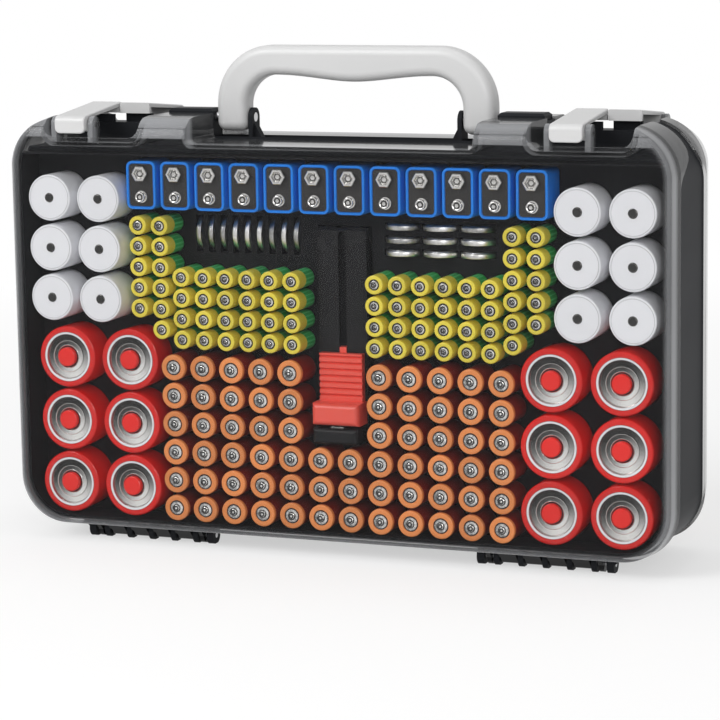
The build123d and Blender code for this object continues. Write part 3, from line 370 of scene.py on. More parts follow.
def wrapped(name, colour, spread=0.08, roughness=0.27, coat=0.15):
    """Printed film on a cell: glossy, slightly rippled, and uneven from cell to cell."""
    finish = Finish(name, colour)
    ripple = finish.noise(FILM_RIPPLE, detail=2.0, stretch=(1, 0.35, 1))
    scuffs = finish.scuffs(scale=220, stretch=(1, 5, 1))
    shader = finish.principled(
        Base_Color=finish.mix(scuffs * 0.25, finish.tone(colour, spread), shaded(colour, 0.75, 0.25)),
        Roughness=roughness + ripple * 0.1 + scuffs * 0.15,
        Normal=finish.relief(ripple, 0.25, depth=0.2 * MM),
        Coat_Weight=coat,
        Coat_Roughness=0.12,
        Specular_IOR_Level=0.35,
    )
    return finish.covered(shader)


def striped_wrap(name, colour, stripe, count, share, spread=0.08, roughness=0.26, groups=3):
    """Printed film with fine stripes that run the length of the cell and crowd in a few groups."""
    finish = Finish(name, colour)
    turn = finish.around()
    ripple = finish.noise(STRIPED_RIPPLE, detail=2.0)
    wave = (turn * (tau * count)).sine() + (turn * (tau * groups)).sine() * 0.5
    stripes = (wave > (1 - 2 * share)) * 0.75
    shader = finish.principled(
        Base_Color=finish.mix(stripes, finish.tone(colour, spread), stripe),
        Roughness=roughness + ripple * 0.12,
        Normal=finish.relief(ripple, 0.2, depth=0.2 * MM),
        Coat_Weight=0.2,
        Coat_Roughness=0.12,
    )
    return finish.covered(shader)


# -------------------- settings
def colour_setting(name, description, default):
    return FloatVectorProperty(
        name=name, description=description, default=default, size=3, min=0, max=1, subtype="COLOR"
    )


def length_setting(name, description, millimetres):
    return FloatProperty(
        name=name, description=description, default=millimetres * MM, unit="LENGTH", subtype="DISTANCE"
    )


def share_setting(name, description, default):
    return FloatProperty(
        name=name, description=description, default=default, min=0, max=1, subtype="FACTOR"
    )


def power_setting(name, description, watts):
    return FloatProperty(name=name, description=description, default=watts, min=0, subtype="POWER")


class CaseLook(bpy.types.PropertyGroup):
    """Colours of the case itself, and where its clear lids carry a painted highlight or are black."""

    body: colour_setting("Body", "Colour of the body and its feet", (0.017, 0.018, 0.0205))
    trays: colour_setting("Trays", "Colour of both trays", (0.009, 0.009, 0.0105))
    lid_tint: colour_setting("Lid tint", "Grey of the clear lids seen edge on", (0.055, 0.056, 0.058))
    barrels: colour_setting("Barrels", "Colour of the lids' hinge barrels", (0.006, 0.006, 0.007))
    lid_haze: share_setting("Lid haze", "Roughness of the clear lids", 0.08)
    lid_face: share_setting("Lid face", "How much a lid covers seen face on", 0.025)
    lid_edge: share_setting("Lid edge", "How much a lid covers seen edge on", 0.9)
    lid_skirt: share_setting("Lid skirt", "How much more a lid's side walls cover", 0.4)
    # The rim's extra cover carries its painted highlight.
    lid_rim_highlight: share_setting("Lid rim", "How much more a lid's rounded rim covers", 0.3)
    lid_lets_light: share_setting("Lid clearness", "How much of the light a lid lets through", 0.85)
    lid_half_width: length_setting("Lid half width", "Half the width of a lid", 188.6)
    lid_half_height: length_setting("Lid half height", "Half the height of a lid", 114.1)
    lid_middle: length_setting("Lid middle", "Height of a lid's middle over the table", 122.7)
    lid_corner: length_setting("Lid corner", "Radius of a lid's corners", 28.0)
    barrel_top: length_setting("Barrel top", "Height of the lids' hinge barrels, which are black", 8.7)
    handle: colour_setting("Handle", "Colour of the swing handle", (0.56, 0.56, 0.56))
    latches: colour_setting("Latches", "Colour of the latch levers", (0.55, 0.55, 0.55))
    tester: colour_setting("Tester", "Colour of the tester's housing", (0.012, 0.012, 0.013))
    slider: colour_setting("Slider", "Colour of the tester's slider", (0.85, 0.1, 0.07))
    board: colour_setting("Board", "Colour of the tester's circuit board", (0.02, 0.16, 0.06))
    steel: colour_setting("Steel", "Colour of pins and screws", (0.62, 0.62, 0.63))
    contacts: colour_setting("Contacts", "Colour of the tester's contacts", (0.86, 0.84, 0.8))


class CellLook(bpy.types.PropertyGroup):
    """Colours and bands of the cells."""

    plating: colour_setting("Plating", "Nickel plating of snaps, rings and bases", (0.8, 0.79, 0.77))
    # The bright side of the painted reflection on pressed steel; the side of painted shade is a share of it.
    cap: colour_setting("Cap", "Bright side of pressed caps, plates and coins", (0.95, 0.94, 0.92))
    # The insulating card's colour, also used as painted shade on the small caps and round the D cells' caps.
    insulator_and_shade: colour_setting("Insulator", "Dark ring round a small cap", (0.02, 0.02, 0.022))
    copper: colour_setting("Copper ring", "End ring of the AA cells", (0.8, 0.27, 0.08))
    wine: colour_setting("Wine jacket", "Jacket of the AA cells behind the ring", (0.26, 0.014, 0.008))
    yellow: colour_setting("Yellow band", "End band of the AAA cells", (0.8, 0.66, 0.07))
    green: colour_setting("Green jacket", "Jacket of the AAA cells", (0.03, 0.42, 0.09))
    light_green: colour_setting("Green stripes", "Stripes on the green jackets", (0.14, 0.7, 0.25))
    red: colour_setting("Red jacket", "Jacket of the D cells", (0.7, 0.008, 0.004))
    red_cap: colour_setting("Red cap", "Centre cap of the D cells", (0.86, 0.02, 0.014))
    white: colour_setting("White", "White wrap and rings", (0.84, 0.845, 0.875))
    blue: colour_setting("Blue jacket", "Jacket of the block cells", (0.008, 0.22, 0.8))
    light_blue: colour_setting("Blue rim", "Rounded rim of the block cells", (0.016, 0.2, 0.66))
    brown: colour_setting("Brown panel", "Snap panel of the block cells", (0.018, 0.016, 0.015))
    cream: colour_setting("Cream jacket", "Jacket of the long lithium cells", (0.78, 0.62, 0.26))
    dark_red: colour_setting("Dark red bands", "Bands on the long lithium cells", (0.3, 0.012, 0.02))
    silver: colour_setting("Silver jacket", "Jacket of the thick photo cells", (0.6, 0.62, 0.64))
    black: colour_setting("Black label", "Label of the thick photo cells", (0.02, 0.02, 0.024))
    sky: colour_setting("Blue label", "Label of the thin photo cells", (0.05, 0.25, 0.6))
    gold: colour_setting("Gold jacket", "Jacket of the short alarm cells", (0.5, 0.33, 0.13))
    rust: colour_setting("Rust jacket", "Jacket of the AA cells in the rear tray", (0.72, 0.2, 0.06))
    aa_band: length_setting("AA band", "Length of the copper band on the side of an AA cell", 2.4)
    aaa_band: length_setting("AAA band", "Length of the yellow band on the side of an AAA cell", 9.5)


class StudioLook(bpy.types.PropertyGroup):
    """The floor, the lamps and the camera."""

    floor: colour_setting("Floor", "Colour of the floor", (0.94, 0.94, 0.94))
    backdrop: FloatProperty(
        name="Backdrop", description="Brightness seen behind the case", default=1.0, min=0
    )
    mirrored: share_setting("Mirrored sky", "Share of the white backdrop that gloss and metal mirror", 0.6)
    sky_light: FloatProperty(
        name="Sky light", description="Strength of the light from all round", default=0.5, min=0
    )
    key_power: power_setting("Key lamp", "Power of the large lamp", 31.0)
    fill_power: power_setting("Fill lamp", "Power of the side lamp", 18.0)
    top_power: power_setting("Top lamp", "Power of the overhead lamp", 7.0)
    lens: FloatProperty(
        name="Lens",
        description="Focal length on a sensor 36 mm wide",
        default=144.28,
        min=1,
        subtype="DISTANCE_CAMERA",
    )


# -------------------- mesh tools
def spots(node):
    """The lowest and highest corner of each separate solid of a CAD node, in metres."""
    mesh = bmesh.new()
    mesh.from_mesh(frame["nodes"][node].data)
    bmesh.ops.remove_doubles(mesh, verts=mesh.verts, dist=1e-6)
    unseen = set(mesh.verts)
    corners = []
    while unseen:
        reached = [unseen.pop()]
        solid = list(reached)
        while reached:
            vert = reached.pop()
            for edge in vert.link_edges:
                other = edge.other_vert(vert)
                if other in unseen:
                    unseen.remove(other)
                    reached.append(other)
                    solid.append(other)
        low = Vector([min(vert.co[axis] for vert in solid) for axis in range(3)])
        high = Vector([max(vert.co[axis] for vert in solid) for axis in range(3)])
        corners.append((low, high))
    mesh.free()
    return sorted(corners, key=lambda ends: tuple(ends[0]))


def turned(mesh, profile, segments, centre=(0, 0), start=0.0):
    """Turn a profile of (depth, radius, zone) in millimetres about Y, closed at both ends.

    centre is where the axis stands across and up, and start is the angle of the first vertex.
    """
    depth, radius, zone = profile[0]
    stand = Matrix.Translation((centre[0] * MM, depth * MM, centre[1] * MM))
    stand = stand @ Matrix.Rotation(pi / 2, 4, "X") @ Matrix.Rotation(start, 4, "Z")
    ring = bmesh.ops.create_circle(mesh, segments=segments, radius=radius * MM, matrix=stand)["verts"]
    edges = list(dict.fromkeys(edge for vert in ring for edge in vert.link_edges))
    bmesh.ops.edgeloop_fill(mesh, edges=edges, mat_nr=zone)
    middle = Vector((centre[0] * MM, 0, centre[1] * MM))
    for next_depth, next_radius, zone in profile[1:]:
        grown = bmesh.ops.extrude_edge_only(mesh, edges=edges)["geom"]
        verts = [item for item in grown if isinstance(item, bmesh.types.BMVert)]
        wall = [item for item in grown if isinstance(item, bmesh.types.BMFace)]
        fresh = set(verts)
        edges = [
            item for item in grown if isinstance(item, bmesh.types.BMEdge) and fresh.issuperset(item.verts)
        ]
        factor = next_radius / radius
        bmesh.ops.scale(mesh, vec=(factor, 1, factor), space=Matrix.Translation(-middle), verts=verts)
        bmesh.ops.translate(mesh, vec=(0, (next_depth - depth) * MM, 0), verts=verts)
        for face in wall:
            face.material_index = zone
        depth, radius = next_depth, next_radius
    bmesh.ops.edgeloop_fill(mesh, edges=edges, mat_nr=zone)
    return mesh


def lay_wrap(mesh):
    """Wrap a UV map round Y: how far round, and how far down in centimetres."""
    layer = mesh.loops.layers.uv.new("wrap")
    for face in mesh.faces:
        middle = face.calc_center_median()
        home = atan2(middle.z, middle.x)
        for loop in face.loops:
            angle = atan2(loop.vert.co.z, loop.vert.co.x)
            angle += tau * round((home - angle) / tau)
            loop[layer].uv = (angle / tau + 0.5, loop.vert.co.y * 100)


def planted(name, template, places, finishes, node, seed=7, spin=True, sharp=32):
    """Set a copy of the template at each place as one object that stands for a CAD node.

    spin turns each copy by chance, and edges of more than sharp degrees stay sharp.
    """
    lay_wrap(template)
    bmesh.ops.recalc_face_normals(template, faces=template.faces)
    stamp = bpy.data.meshes.new(name + "_one")
    template.to_mesh(stamp)
    template.free()
    chance = Random(seed)
    mesh = bmesh.new()
    tone = mesh.verts.layers.float.new("tone")
    for place in places:
        first = len(mesh.verts)
        mesh.from_mesh(stamp)
        mesh.verts.ensure_lookup_table()
        fresh = mesh.verts[first:]
        turn = Matrix.Rotation(chance.uniform(0, tau), 4, "Y") if spin else Matrix()
        bmesh.ops.transform(mesh, matrix=place @ turn, verts=fresh)
        shade = chance.random()
        for vert in fresh:
            vert[tone] = shade
    bpy.data.meshes.remove(stamp)
    built(name, mesh, finishes, node, sharp)


def built(name, mesh, finishes, node, sharp):
    """Make an object of the mesh that stands for a CAD node and rides where it did."""
    data = bpy.data.meshes.new(name)
    for face in mesh.faces:
        face.smooth = True
    mesh.to_mesh(data)
    mesh.free()
    data.set_sharp_from_angle(angle=radians(sharp))
    for finish in finishes:
        data.materials.append(finish)
    piece = bpy.data.objects.new(name, data)
    bpy.context.scene.collection.objects.link(piece)
    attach(piece, frame["nodes"][node]["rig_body"])
    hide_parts(node)


def paint(finish, *nodes):
    """Give CAD nodes a finish."""
    for node in nodes:
        materials = frame["nodes"][node].data.materials
        materials.clear()
        materials.append(finish)


def all_four(part):
    """The nodes of a part that is at both ends of the case and on both sides of it."""
    return [f"{end}_{part}_{side}" for end in ENDS for side in SIDES]


def standing(node, stands_out):
    """Places for upright cells, whose caps stand out by some millimetres and end where the CAD cells do."""
    return [
        Matrix.Translation(((low.x + high.x) / 2, low.y + stands_out * MM, (low.z + high.z) / 2))
        for low, high in spots(node)
    ]


def lying(node, stands_out):
    """Places for cells that lie along X, with their caps towards +X."""
    turn = Matrix.Rotation(pi / 2, 4, "Z")
    return [
        Matrix.Translation((high.x - stands_out * MM, (low.y + high.y) / 2, (low.z + high.z) / 2)) @ turn
        for low, high in spots(node)
    ]


# -------------------- the case
class CASE_OT_body(bpy.types.Operator):
    """Finish the body, the trays, their screws and the pins"""

    bl_idname = "battery_case.body"
    bl_label = "Body and Trays"

    def execute(self, context):
        look = context.scene.case_look
        body = moulded(
            "body_black", look.body, roughness=0.36, grain=0.3, mottle=0.18, Specular_IOR_Level=0.02
        )
        trays = moulded(
            "tray_black", look.trays, roughness=0.46, grain=0.5, mottle=0.2, Specular_IOR_Level=0.1
        )
        rods = steel("rod_steel", look.steel, roughness=0.3)
        screws = steel("screw_plating", look.steel, roughness=0.34, stretch=(30, 1, 30))
        paint(body, "body_frame")
        paint(trays, "front_tray", "tray_rim", "rear_tray")
        paint(rods, "handle_pin_left", "handle_pin_right", *all_four("hinge_pin"), *all_four("latch_pin"))
        paint(screws, "tray_screws")
        return {"FINISHED"}


class CASE_OT_lids(bpy.types.Operator):
    """Finish both lids in clear plastic"""

    bl_idname = "battery_case.lids"
    bl_label = "Clear Lids"

    def execute(self, context):
        paint(clear_plastic("lid_clear", context.scene.case_look), "front_lid", "rear_lid")
        return {"FINISHED"}


class CASE_OT_latches(bpy.types.Operator):
    """Finish the four latch levers"""

    bl_idname = "battery_case.latches"
    bl_label = "Latches"

    def execute(self, context):
        colour = context.scene.case_look.latches
        paint(moulded("latch_grey", colour, roughness=0.34, grain=0.15, mottle=0.03), *all_four("latch"))
        return {"FINISHED"}


class CASE_OT_handle(bpy.types.Operator):
    """Finish the swing handle"""

    bl_idname = "battery_case.handle"
    bl_label = "Handle"

    def execute(self, context):
        colour = context.scene.case_look.handle
        paint(moulded("handle_grey", colour, roughness=0.38, grain=0.2, mottle=0.03), "handle")
        return {"FINISHED"}


class CASE_OT_tester(bpy.types.Operator):
    """Finish the tester: housing, slider, contacts and board"""

    bl_idname = "battery_case.tester"
    bl_label = "Tester"

    def execute(self, context):
        look = context.scene.case_look
        housing = moulded(
            "tester_black", look.tester, roughness=0.26, grain=0.1, mottle=0.1, Specular_IOR_Level=0.15
        )
        paint(housing, "tester_body")
        paint(moulded("slider_red", look.slider, roughness=0.32, grain=0.2, mottle=0.05), "tester_slider")
        paint(moulded("board_green", look.board, roughness=0.3, grain=0.2), "tester_board")
        paint(steel("contact_plating", look.contacts, roughness=0.2), "tester_contact", "slider_contact")
        return {"FINISHED"}


# -------------------- round cells
# The zones of a capped cell, in the order of its finishes. The dark card's zone is also painted shade
# on the cap, and the flange's zone is also a painted highlight in the cap's middle.
CAP, DARK_CARD_AND_SHADE, FLANGE_AND_GLINT, BAND_1, BAND_2, BAND_3 = range(6)


def cap_finishes(look):
    """Nickel for caps and bases, the dark card of the insulating ring, which is also painted shade on the
    cap, and nickel for flanges, which is also a painted highlight in the cap's middle. Both nickels carry a
    painted reflection.
    """
    return [
        painted_reflection_steel("cap_nickel", look.cap, deep=0.04, bright_at=0.6, flecks=0.4, roughness=0.12),
        moulded("insulating_card_and_shade", look.insulator_and_shade, roughness=0.5, grain=0.2),
        painted_reflection_steel("flange_and_glint_nickel", look.cap, deep=0.25, bright_at=0.58, flecks=0.4, roughness=0.14),
    ]


def capped(radius, length, cap_radius, cap_height, flange, groove, bands, base):
    """The profile of a round cell: cap, flange, groove, end ring, bands and base, front to back.
    The cap's flat middle takes the flange's finish as a painted highlight, and a ring round it and the groove
    at the cap's foot take the dark card as painted shade.

    Sizes are in millimetres, and each band is (depth to, zone).
    """
    foot = cap_radius * 1.15
    front, back = bands[0][1], bands[-1][1]
    return [
        # The flange's finish in the middle of the cap is a painted highlight; the dark card round it is
        # painted shade.
        (-cap_height, cap_radius * 0.4, FLANGE_AND_GLINT),
        (-cap_height * 0.95, cap_radius * 0.45, DARK_CARD_AND_SHADE),
        (-cap_height * 0.95, cap_radius * 0.9, DARK_CARD_AND_SHADE),
        (-cap_height * 0.8, cap_radius * 1.1, CAP),
        (0.2, foot, CAP),
        # The dark card in the groove at the foot of the cap is painted shade.
        (0.35, foot + 0.1, DARK_CARD_AND_SHADE),
        (0.2, foot + 0.35, DARK_CARD_AND_SHADE),
        (-0.1, foot + 0.45, FLANGE_AND_GLINT),
        (0.1, flange - 0.1, FLANGE_AND_GLINT),
        (0.35, flange, FLANGE_AND_GLINT),
        # The dark insulating ring round the flange.
        (0.6, flange + 0.06, DARK_CARD_AND_SHADE),
        (0.6, groove, DARK_CARD_AND_SHADE),
        (0.06, groove + 0.12, front),
        (0.0, groove + 0.3, front),
        (0.0, radius - 0.62, front),
        (0.1, radius - 0.3, front),
        (0.35, radius - 0.07, front),
        (0.7, radius, front),
        *[(depth, radius, zone) for depth, zone in bands[:-1]],
        (length - 0.7, radius, back),
        (length - 0.3, radius - 0.1, back),
        (length - 0.05, radius - 0.45, back),
        (length, radius - 0.8, back),
        (length, base, CAP),
    ]


class CASE_OT_aa_cells(bpy.types.Operator):
    """Build the AA cells of the front tray"""

    bl_idname = "battery_case.aa_cells"
    bl_label = "AA Cells"

    def execute(self, context):
        look = context.scene.cell_look
        finishes = cap_finishes(look) + [
            wrapped("copper_ring", look.copper, spread=0.14),
            wrapped("wine_jacket", look.wine, spread=0.3),
        ]
        length, cap_height = 49.3, 1.1
        profile = capped(
            radius=7.15, length=length, cap_radius=1.6, cap_height=cap_height, flange=3.65, groove=4.25,
            bands=[(look.aa_band / MM, BAND_1), (length, BAND_2)], base=5.6,
        )
        places = standing("aa_cells", cap_height)
        template = turned(bmesh.new(), profile, segments=32)
        planted("aa_cells_wrapped", template, places, finishes, "aa_cells", spin=False)
        return {"FINISHED"}


class CASE_OT_aaa_cells(bpy.types.Operator):
    """Build the AAA cells of the front tray"""

    bl_idname = "battery_case.aaa_cells"
    bl_label = "AAA Cells"

    def execute(self, context):
        look = context.scene.cell_look
        finishes = cap_finishes(look) + [
            wrapped("yellow_band", look.yellow, spread=0.1),
            striped_wrap("green_jacket", look.green, look.light_green, count=14, share=0.4, spread=0.25),
        ]
        length, cap_height = 43.6, 0.9
        profile = capped(
            radius=5.15, length=length, cap_radius=0.95, cap_height=cap_height, flange=2.35, groove=3.0,
            bands=[(look.aaa_band / MM, BAND_1), (length, BAND_2)], base=4.0,
        )
        places = standing("aaa_cells", cap_height)
        template = turned(bmesh.new(), profile, segments=28)
        planted(
            "aaa_cells_wrapped", template, places, finishes, "aaa_cells", seed=11, spin=False
        )
        return {"FINISHED"}


class CASE_OT_d_cells(bpy.types.Operator):
    """Build the D cells: red jacket, white ring, sunk metal top and red cap"""

    bl_idname = "battery_case.d_cells"
    bl_label = "D Cells"

    def execute(self, context):
        look = context.scene.cell_look
        finishes = [
            wrapped("red_cap", look.red_cap, spread=0.05),
            steel("top_bevel", look.plating, roughness=0.22, stretch=(1, 1, 1), strength=0.2),
            wrapped("white_ring", look.white, spread=0.03),
            wrapped("red_jacket", look.red, spread=0.08, roughness=0.2, coat=0.35),
            # The sunk top's plate and slope carry a painted reflection: painted shade above the cap, a
            # painted highlight below it.
            painted_reflection_steel(
                "top_plate", look.cap, deep=0.04, bright_at=0.3, flecks=0.03, roughness=0.16, narrow=2.5
            ),
            # Dark card in the grooves: painted shade round the cap's foot, and a dark joint under the white
            # ring.
            moulded("groove_joint_and_shade", look.insulator_and_shade, roughness=0.5, grain=0.2),
            painted_reflection_steel(
                "top_slope", look.cap, deep=0.07, bright_at=0.36, flecks=0.04, roughness=0.16, narrow=2.0
            ),
        ]
        cap, bevel, ring, jacket, plate, groove, slope = range(7)
        cap_height, radius, length = 1.5, 17.1, 60.0
        profile = [
            (-cap_height, 3.9, cap), (-1.42, 4.7, cap), (-1.1, 5.15, cap), (-0.6, 5.3, cap), (1.3, 5.35, cap),
            # Dark card at the cap's foot: painted shade.
            (1.5, 5.45, groove), (1.5, 5.95, groove),
            (1.1, 6.1, bevel), (0.9, 6.35, bevel), (1.2, 6.7, bevel),
            (1.3, 8.6, slope),
            (1.0, 8.8, bevel), (1.0, 9.0, bevel),
            (1.6, 9.2, plate), (1.7, 11.9, plate),
            (1.5, 12.1, bevel), (0.25, 12.6, bevel),
            (0.05, 12.8, ring), (0.0, 13.0, ring), (0.0, 13.75, ring),
            (0.06, 13.85, groove), (0.06, 13.95, groove),
            (0.0, 14.1, jacket), (0.0, radius - 1.3, jacket), (0.12, radius - 0.7, jacket),
            (0.5, radius - 0.2, jacket), (1.1, radius, jacket), (length / 3, radius, jacket),
            (length - 0.8, radius, jacket), (length - 0.2, radius - 0.3, jacket),
            (length, radius - 1.1, jacket),
            (length, 14.6, bevel), (length - 0.4, 14.2, bevel),
        ]
        places = standing("d_cells", cap_height)
        template = turned(bmesh.new(), profile, segments=64)
        planted(
            "d_cells_wrapped", template, places, finishes, "d_cells", seed=3, spin=False, sharp=24
        )
        return {"FINISHED"}


class CASE_OT_c_cells(bpy.types.Operator):
    """Build the C cells: white wrap over a white disc, with a small nickel cap whose dark look is a painted
    reflection
    """

    bl_idname = "battery_case.c_cells"
    bl_label = "C Cells"

    def execute(self, context):
        look = context.scene.cell_look
        finishes = [
            # The nickel cap at under a tenth of the plating's colour: a painted dark reflection.
            steel("cap_painted_dark", shaded(look.plating, 0.09), roughness=0.3, stretch=(1, 1, 1)),
            steel("cap_ring", shaded(look.plating, 0.7), roughness=0.25, stretch=(1, 1, 1)),
            wrapped("white_disc", look.white, spread=0.02, roughness=0.4, coat=0.05),
            wrapped("white_wrap", look.white, spread=0.03),
            moulded("wrap_seam", shaded(look.white, 0.6), roughness=0.5, grain=0.2),
        ]
        cap, ring, disc, wrap, seam = range(5)
        cap_height, radius, length = 1.1, 12.8, 48.5
        profile = [
            (-cap_height, 1.4, cap), (-1.04, 1.85, cap), (-0.8, 2.1, cap), (0.0, 2.15, cap),
            (0.15, 2.25, ring), (0.1, 2.5, ring), (0.0, 2.65, ring),
            (0.0, 2.75, disc), (0.0, 11.4, disc),
            (0.15, 11.5, seam), (0.15, 11.7, seam),
            (0.0, 11.8, wrap), (0.0, radius - 0.75, wrap), (0.12, radius - 0.4, wrap),
            (0.45, radius - 0.1, wrap), (0.9, radius, wrap), (20.0, radius, wrap),
            (length - 0.6, radius, wrap), (length - 0.1, radius - 0.3, wrap), (length, radius - 0.9, wrap),
            (length, 10.6, ring), (length - 0.3, 10.2, ring),
        ]
        places = standing("c_cells", cap_height)
        template = turned(bmesh.new(), profile, segments=56)
        planted("c_cells_wrapped", template, places, finishes, "c_cells", seed=5, sharp=24)
        return {"FINISHED"}


class CASE_OT_coins(bpy.types.Operator):
    """Build the coin cells, upright on one side of the tester and flat on the other"""

    bl_idname = "battery_case.coins"
    bl_label = "Coin Cells"

    def execute(self, context):
        look = context.scene.cell_look
        finishes = [
            # The coins' steel carries a painted reflection, bright to the right, with painted shade opposite.
            painted_reflection_steel("coin_steel", look.cap, deep=0.35, bright_at=0.5, flecks=0.2, roughness=0.3),
            moulded("coin_seal", look.insulator_and_shade, roughness=0.5),
        ]
        metal, seal = range(2)
        half, radius = 1.6, 10.0
        profile = [
            (-half, 8.3, metal), (-1.5, 8.7, metal), (-1.15, 8.9, metal),
            (-1.05, 9.05, seal), (-1.1, 9.35, seal),
            (-1.12, 9.6, metal), (-0.95, radius - 0.15, metal), (-0.6, radius, metal),
            (half - 0.5, radius, metal), (half - 0.15, radius - 0.15, metal), (half, radius - 0.5, metal),
        ]
        for name, node, axis in (
            ("coins_upright", "upright_coin_cells", "Z"),
            ("coins_flat", "flat_coin_cells", "X"),
        ):
            turn = Matrix.Rotation(-pi / 2, 4, axis)
            places = [Matrix.Translation((low + high) / 2) @ turn for low, high in spots(node)]
            template = turned(bmesh.new(), profile, segments=64)
            planted(name, template, places, finishes, node, sharp=28)
        return {"FINISHED"}


# -------------------- block cells
class CASE_OT_block_cells(bpy.types.Operator):
    """Build the nine-volt blocks: rounded jacket, rim, sunk panel and two snaps"""

    bl_idname = "battery_case.block_cells"
    bl_label = "Block Cells"

    def execute(self, context):
        look = context.scene.cell_look
        finishes = [
            steel("snap_nickel", look.plating, roughness=0.22, stretch=(1, 1, 1), strength=0.15),
            moulded("snap_panel", look.brown, roughness=0.45, grain=0.4, mottle=0.25),
            wrapped("block_jacket", look.blue, spread=0.08, roughness=0.3),
            wrapped("block_rim", look.light_blue, spread=0.08, roughness=0.28),
        ]
        snap_height = 2.3
        places = standing("nine_volt_cells", snap_height)
        template = self.jacket(width=17.5, length=46.4, height=26.5, corner=3.6, roundness=1.4)
        self.snaps(template, snap_height, half_pitch=6.35)
        planted(
            "block_cells_wrapped", template, places, finishes, "nine_volt_cells", spin=False
        )
        return {"FINISHED"}

    def jacket(self, width, length, height, corner, roundness):
        """A block with rounded corners, a rounded rim and a panel sunk in its front."""
        panel, jacket, rim = 1, 2, 3
        block = bmesh.new()
        size = Matrix.Diagonal((width * MM, length * MM, height * MM, 1))
        bmesh.ops.create_cube(block, size=1, matrix=Matrix.Translation((0, length / 2 * MM, 0)) @ size)
        long_edges = [
            edge for edge in block.edges if abs(edge.verts[0].co.y - edge.verts[1].co.y) > length / 2 * MM
        ]
        bmesh.ops.bevel(
            block, geom=long_edges, offset=corner * MM, segments=6, affect="EDGES", profile=0.5, material=-1
        )
        for face in block.faces:
            face.material_index = jacket
        front = min(block.faces, key=lambda face: face.calc_center_median().y)
        insets = ((1.45, 0.0, rim), (0.15, 0.0, jacket), (0.15, -0.5, jacket), (0.05, 0.0, panel))
        for inset, push, zone in insets:
            walls = bmesh.ops.inset_region(
                block, faces=[front], thickness=inset * MM, depth=push * MM, use_even_offset=True
            )["faces"]
            for face in walls:
                face.material_index = zone
        front.material_index = panel
        outline = [
            edge
            for edge in block.edges
            if all(abs(vert.co.y) < 1e-6 for vert in edge.verts)
            and len([face for face in edge.link_faces if abs(face.normal.y) > 0.9]) == 1
        ]
        bmesh.ops.bevel(
            block, geom=outline, offset=roundness * MM, segments=5, affect="EDGES", profile=0.5, material=rim
        )
        return block

    def snaps(self, block, snap_height, half_pitch):
        """Add the six-sided socket above and the round stud below."""
        metal, shade = 0, 1
        socket = [
            (-1.5, 0.5, metal), (-1.4, 1.2, metal), (-1.1, 1.5, metal), (-1.1, 2.0, shade),
            (-1.3, 2.3, metal), (-2.0, 2.8, metal), (-snap_height, 3.2, metal), (-snap_height, 4.2, metal),
            (-2.0, 4.6, metal), (-1.5, 4.6, metal), (-1.3, 3.7, metal), (0.5, 3.7, metal),
        ]
        turned(block, socket, segments=6, centre=(0, half_pitch), start=pi / 6)
        stud = [
            (-2.0, 0.5, metal), (-1.9, 1.0, metal), (-1.5, 1.2, shade), (-1.5, 1.6, shade),
            (-2.1, 1.8, metal), (-snap_height, 2.2, metal), (-2.15, 2.7, metal), (-1.7, 2.9, metal),
            (-1.2, 2.85, metal), (-0.8, 2.5, metal), (0.2, 2.5, metal), (0.35, 3.3, metal),
            (0.5, 3.4, metal),
        ]
        turned(block, stud, segments=24, centre=(0, -half_pitch))


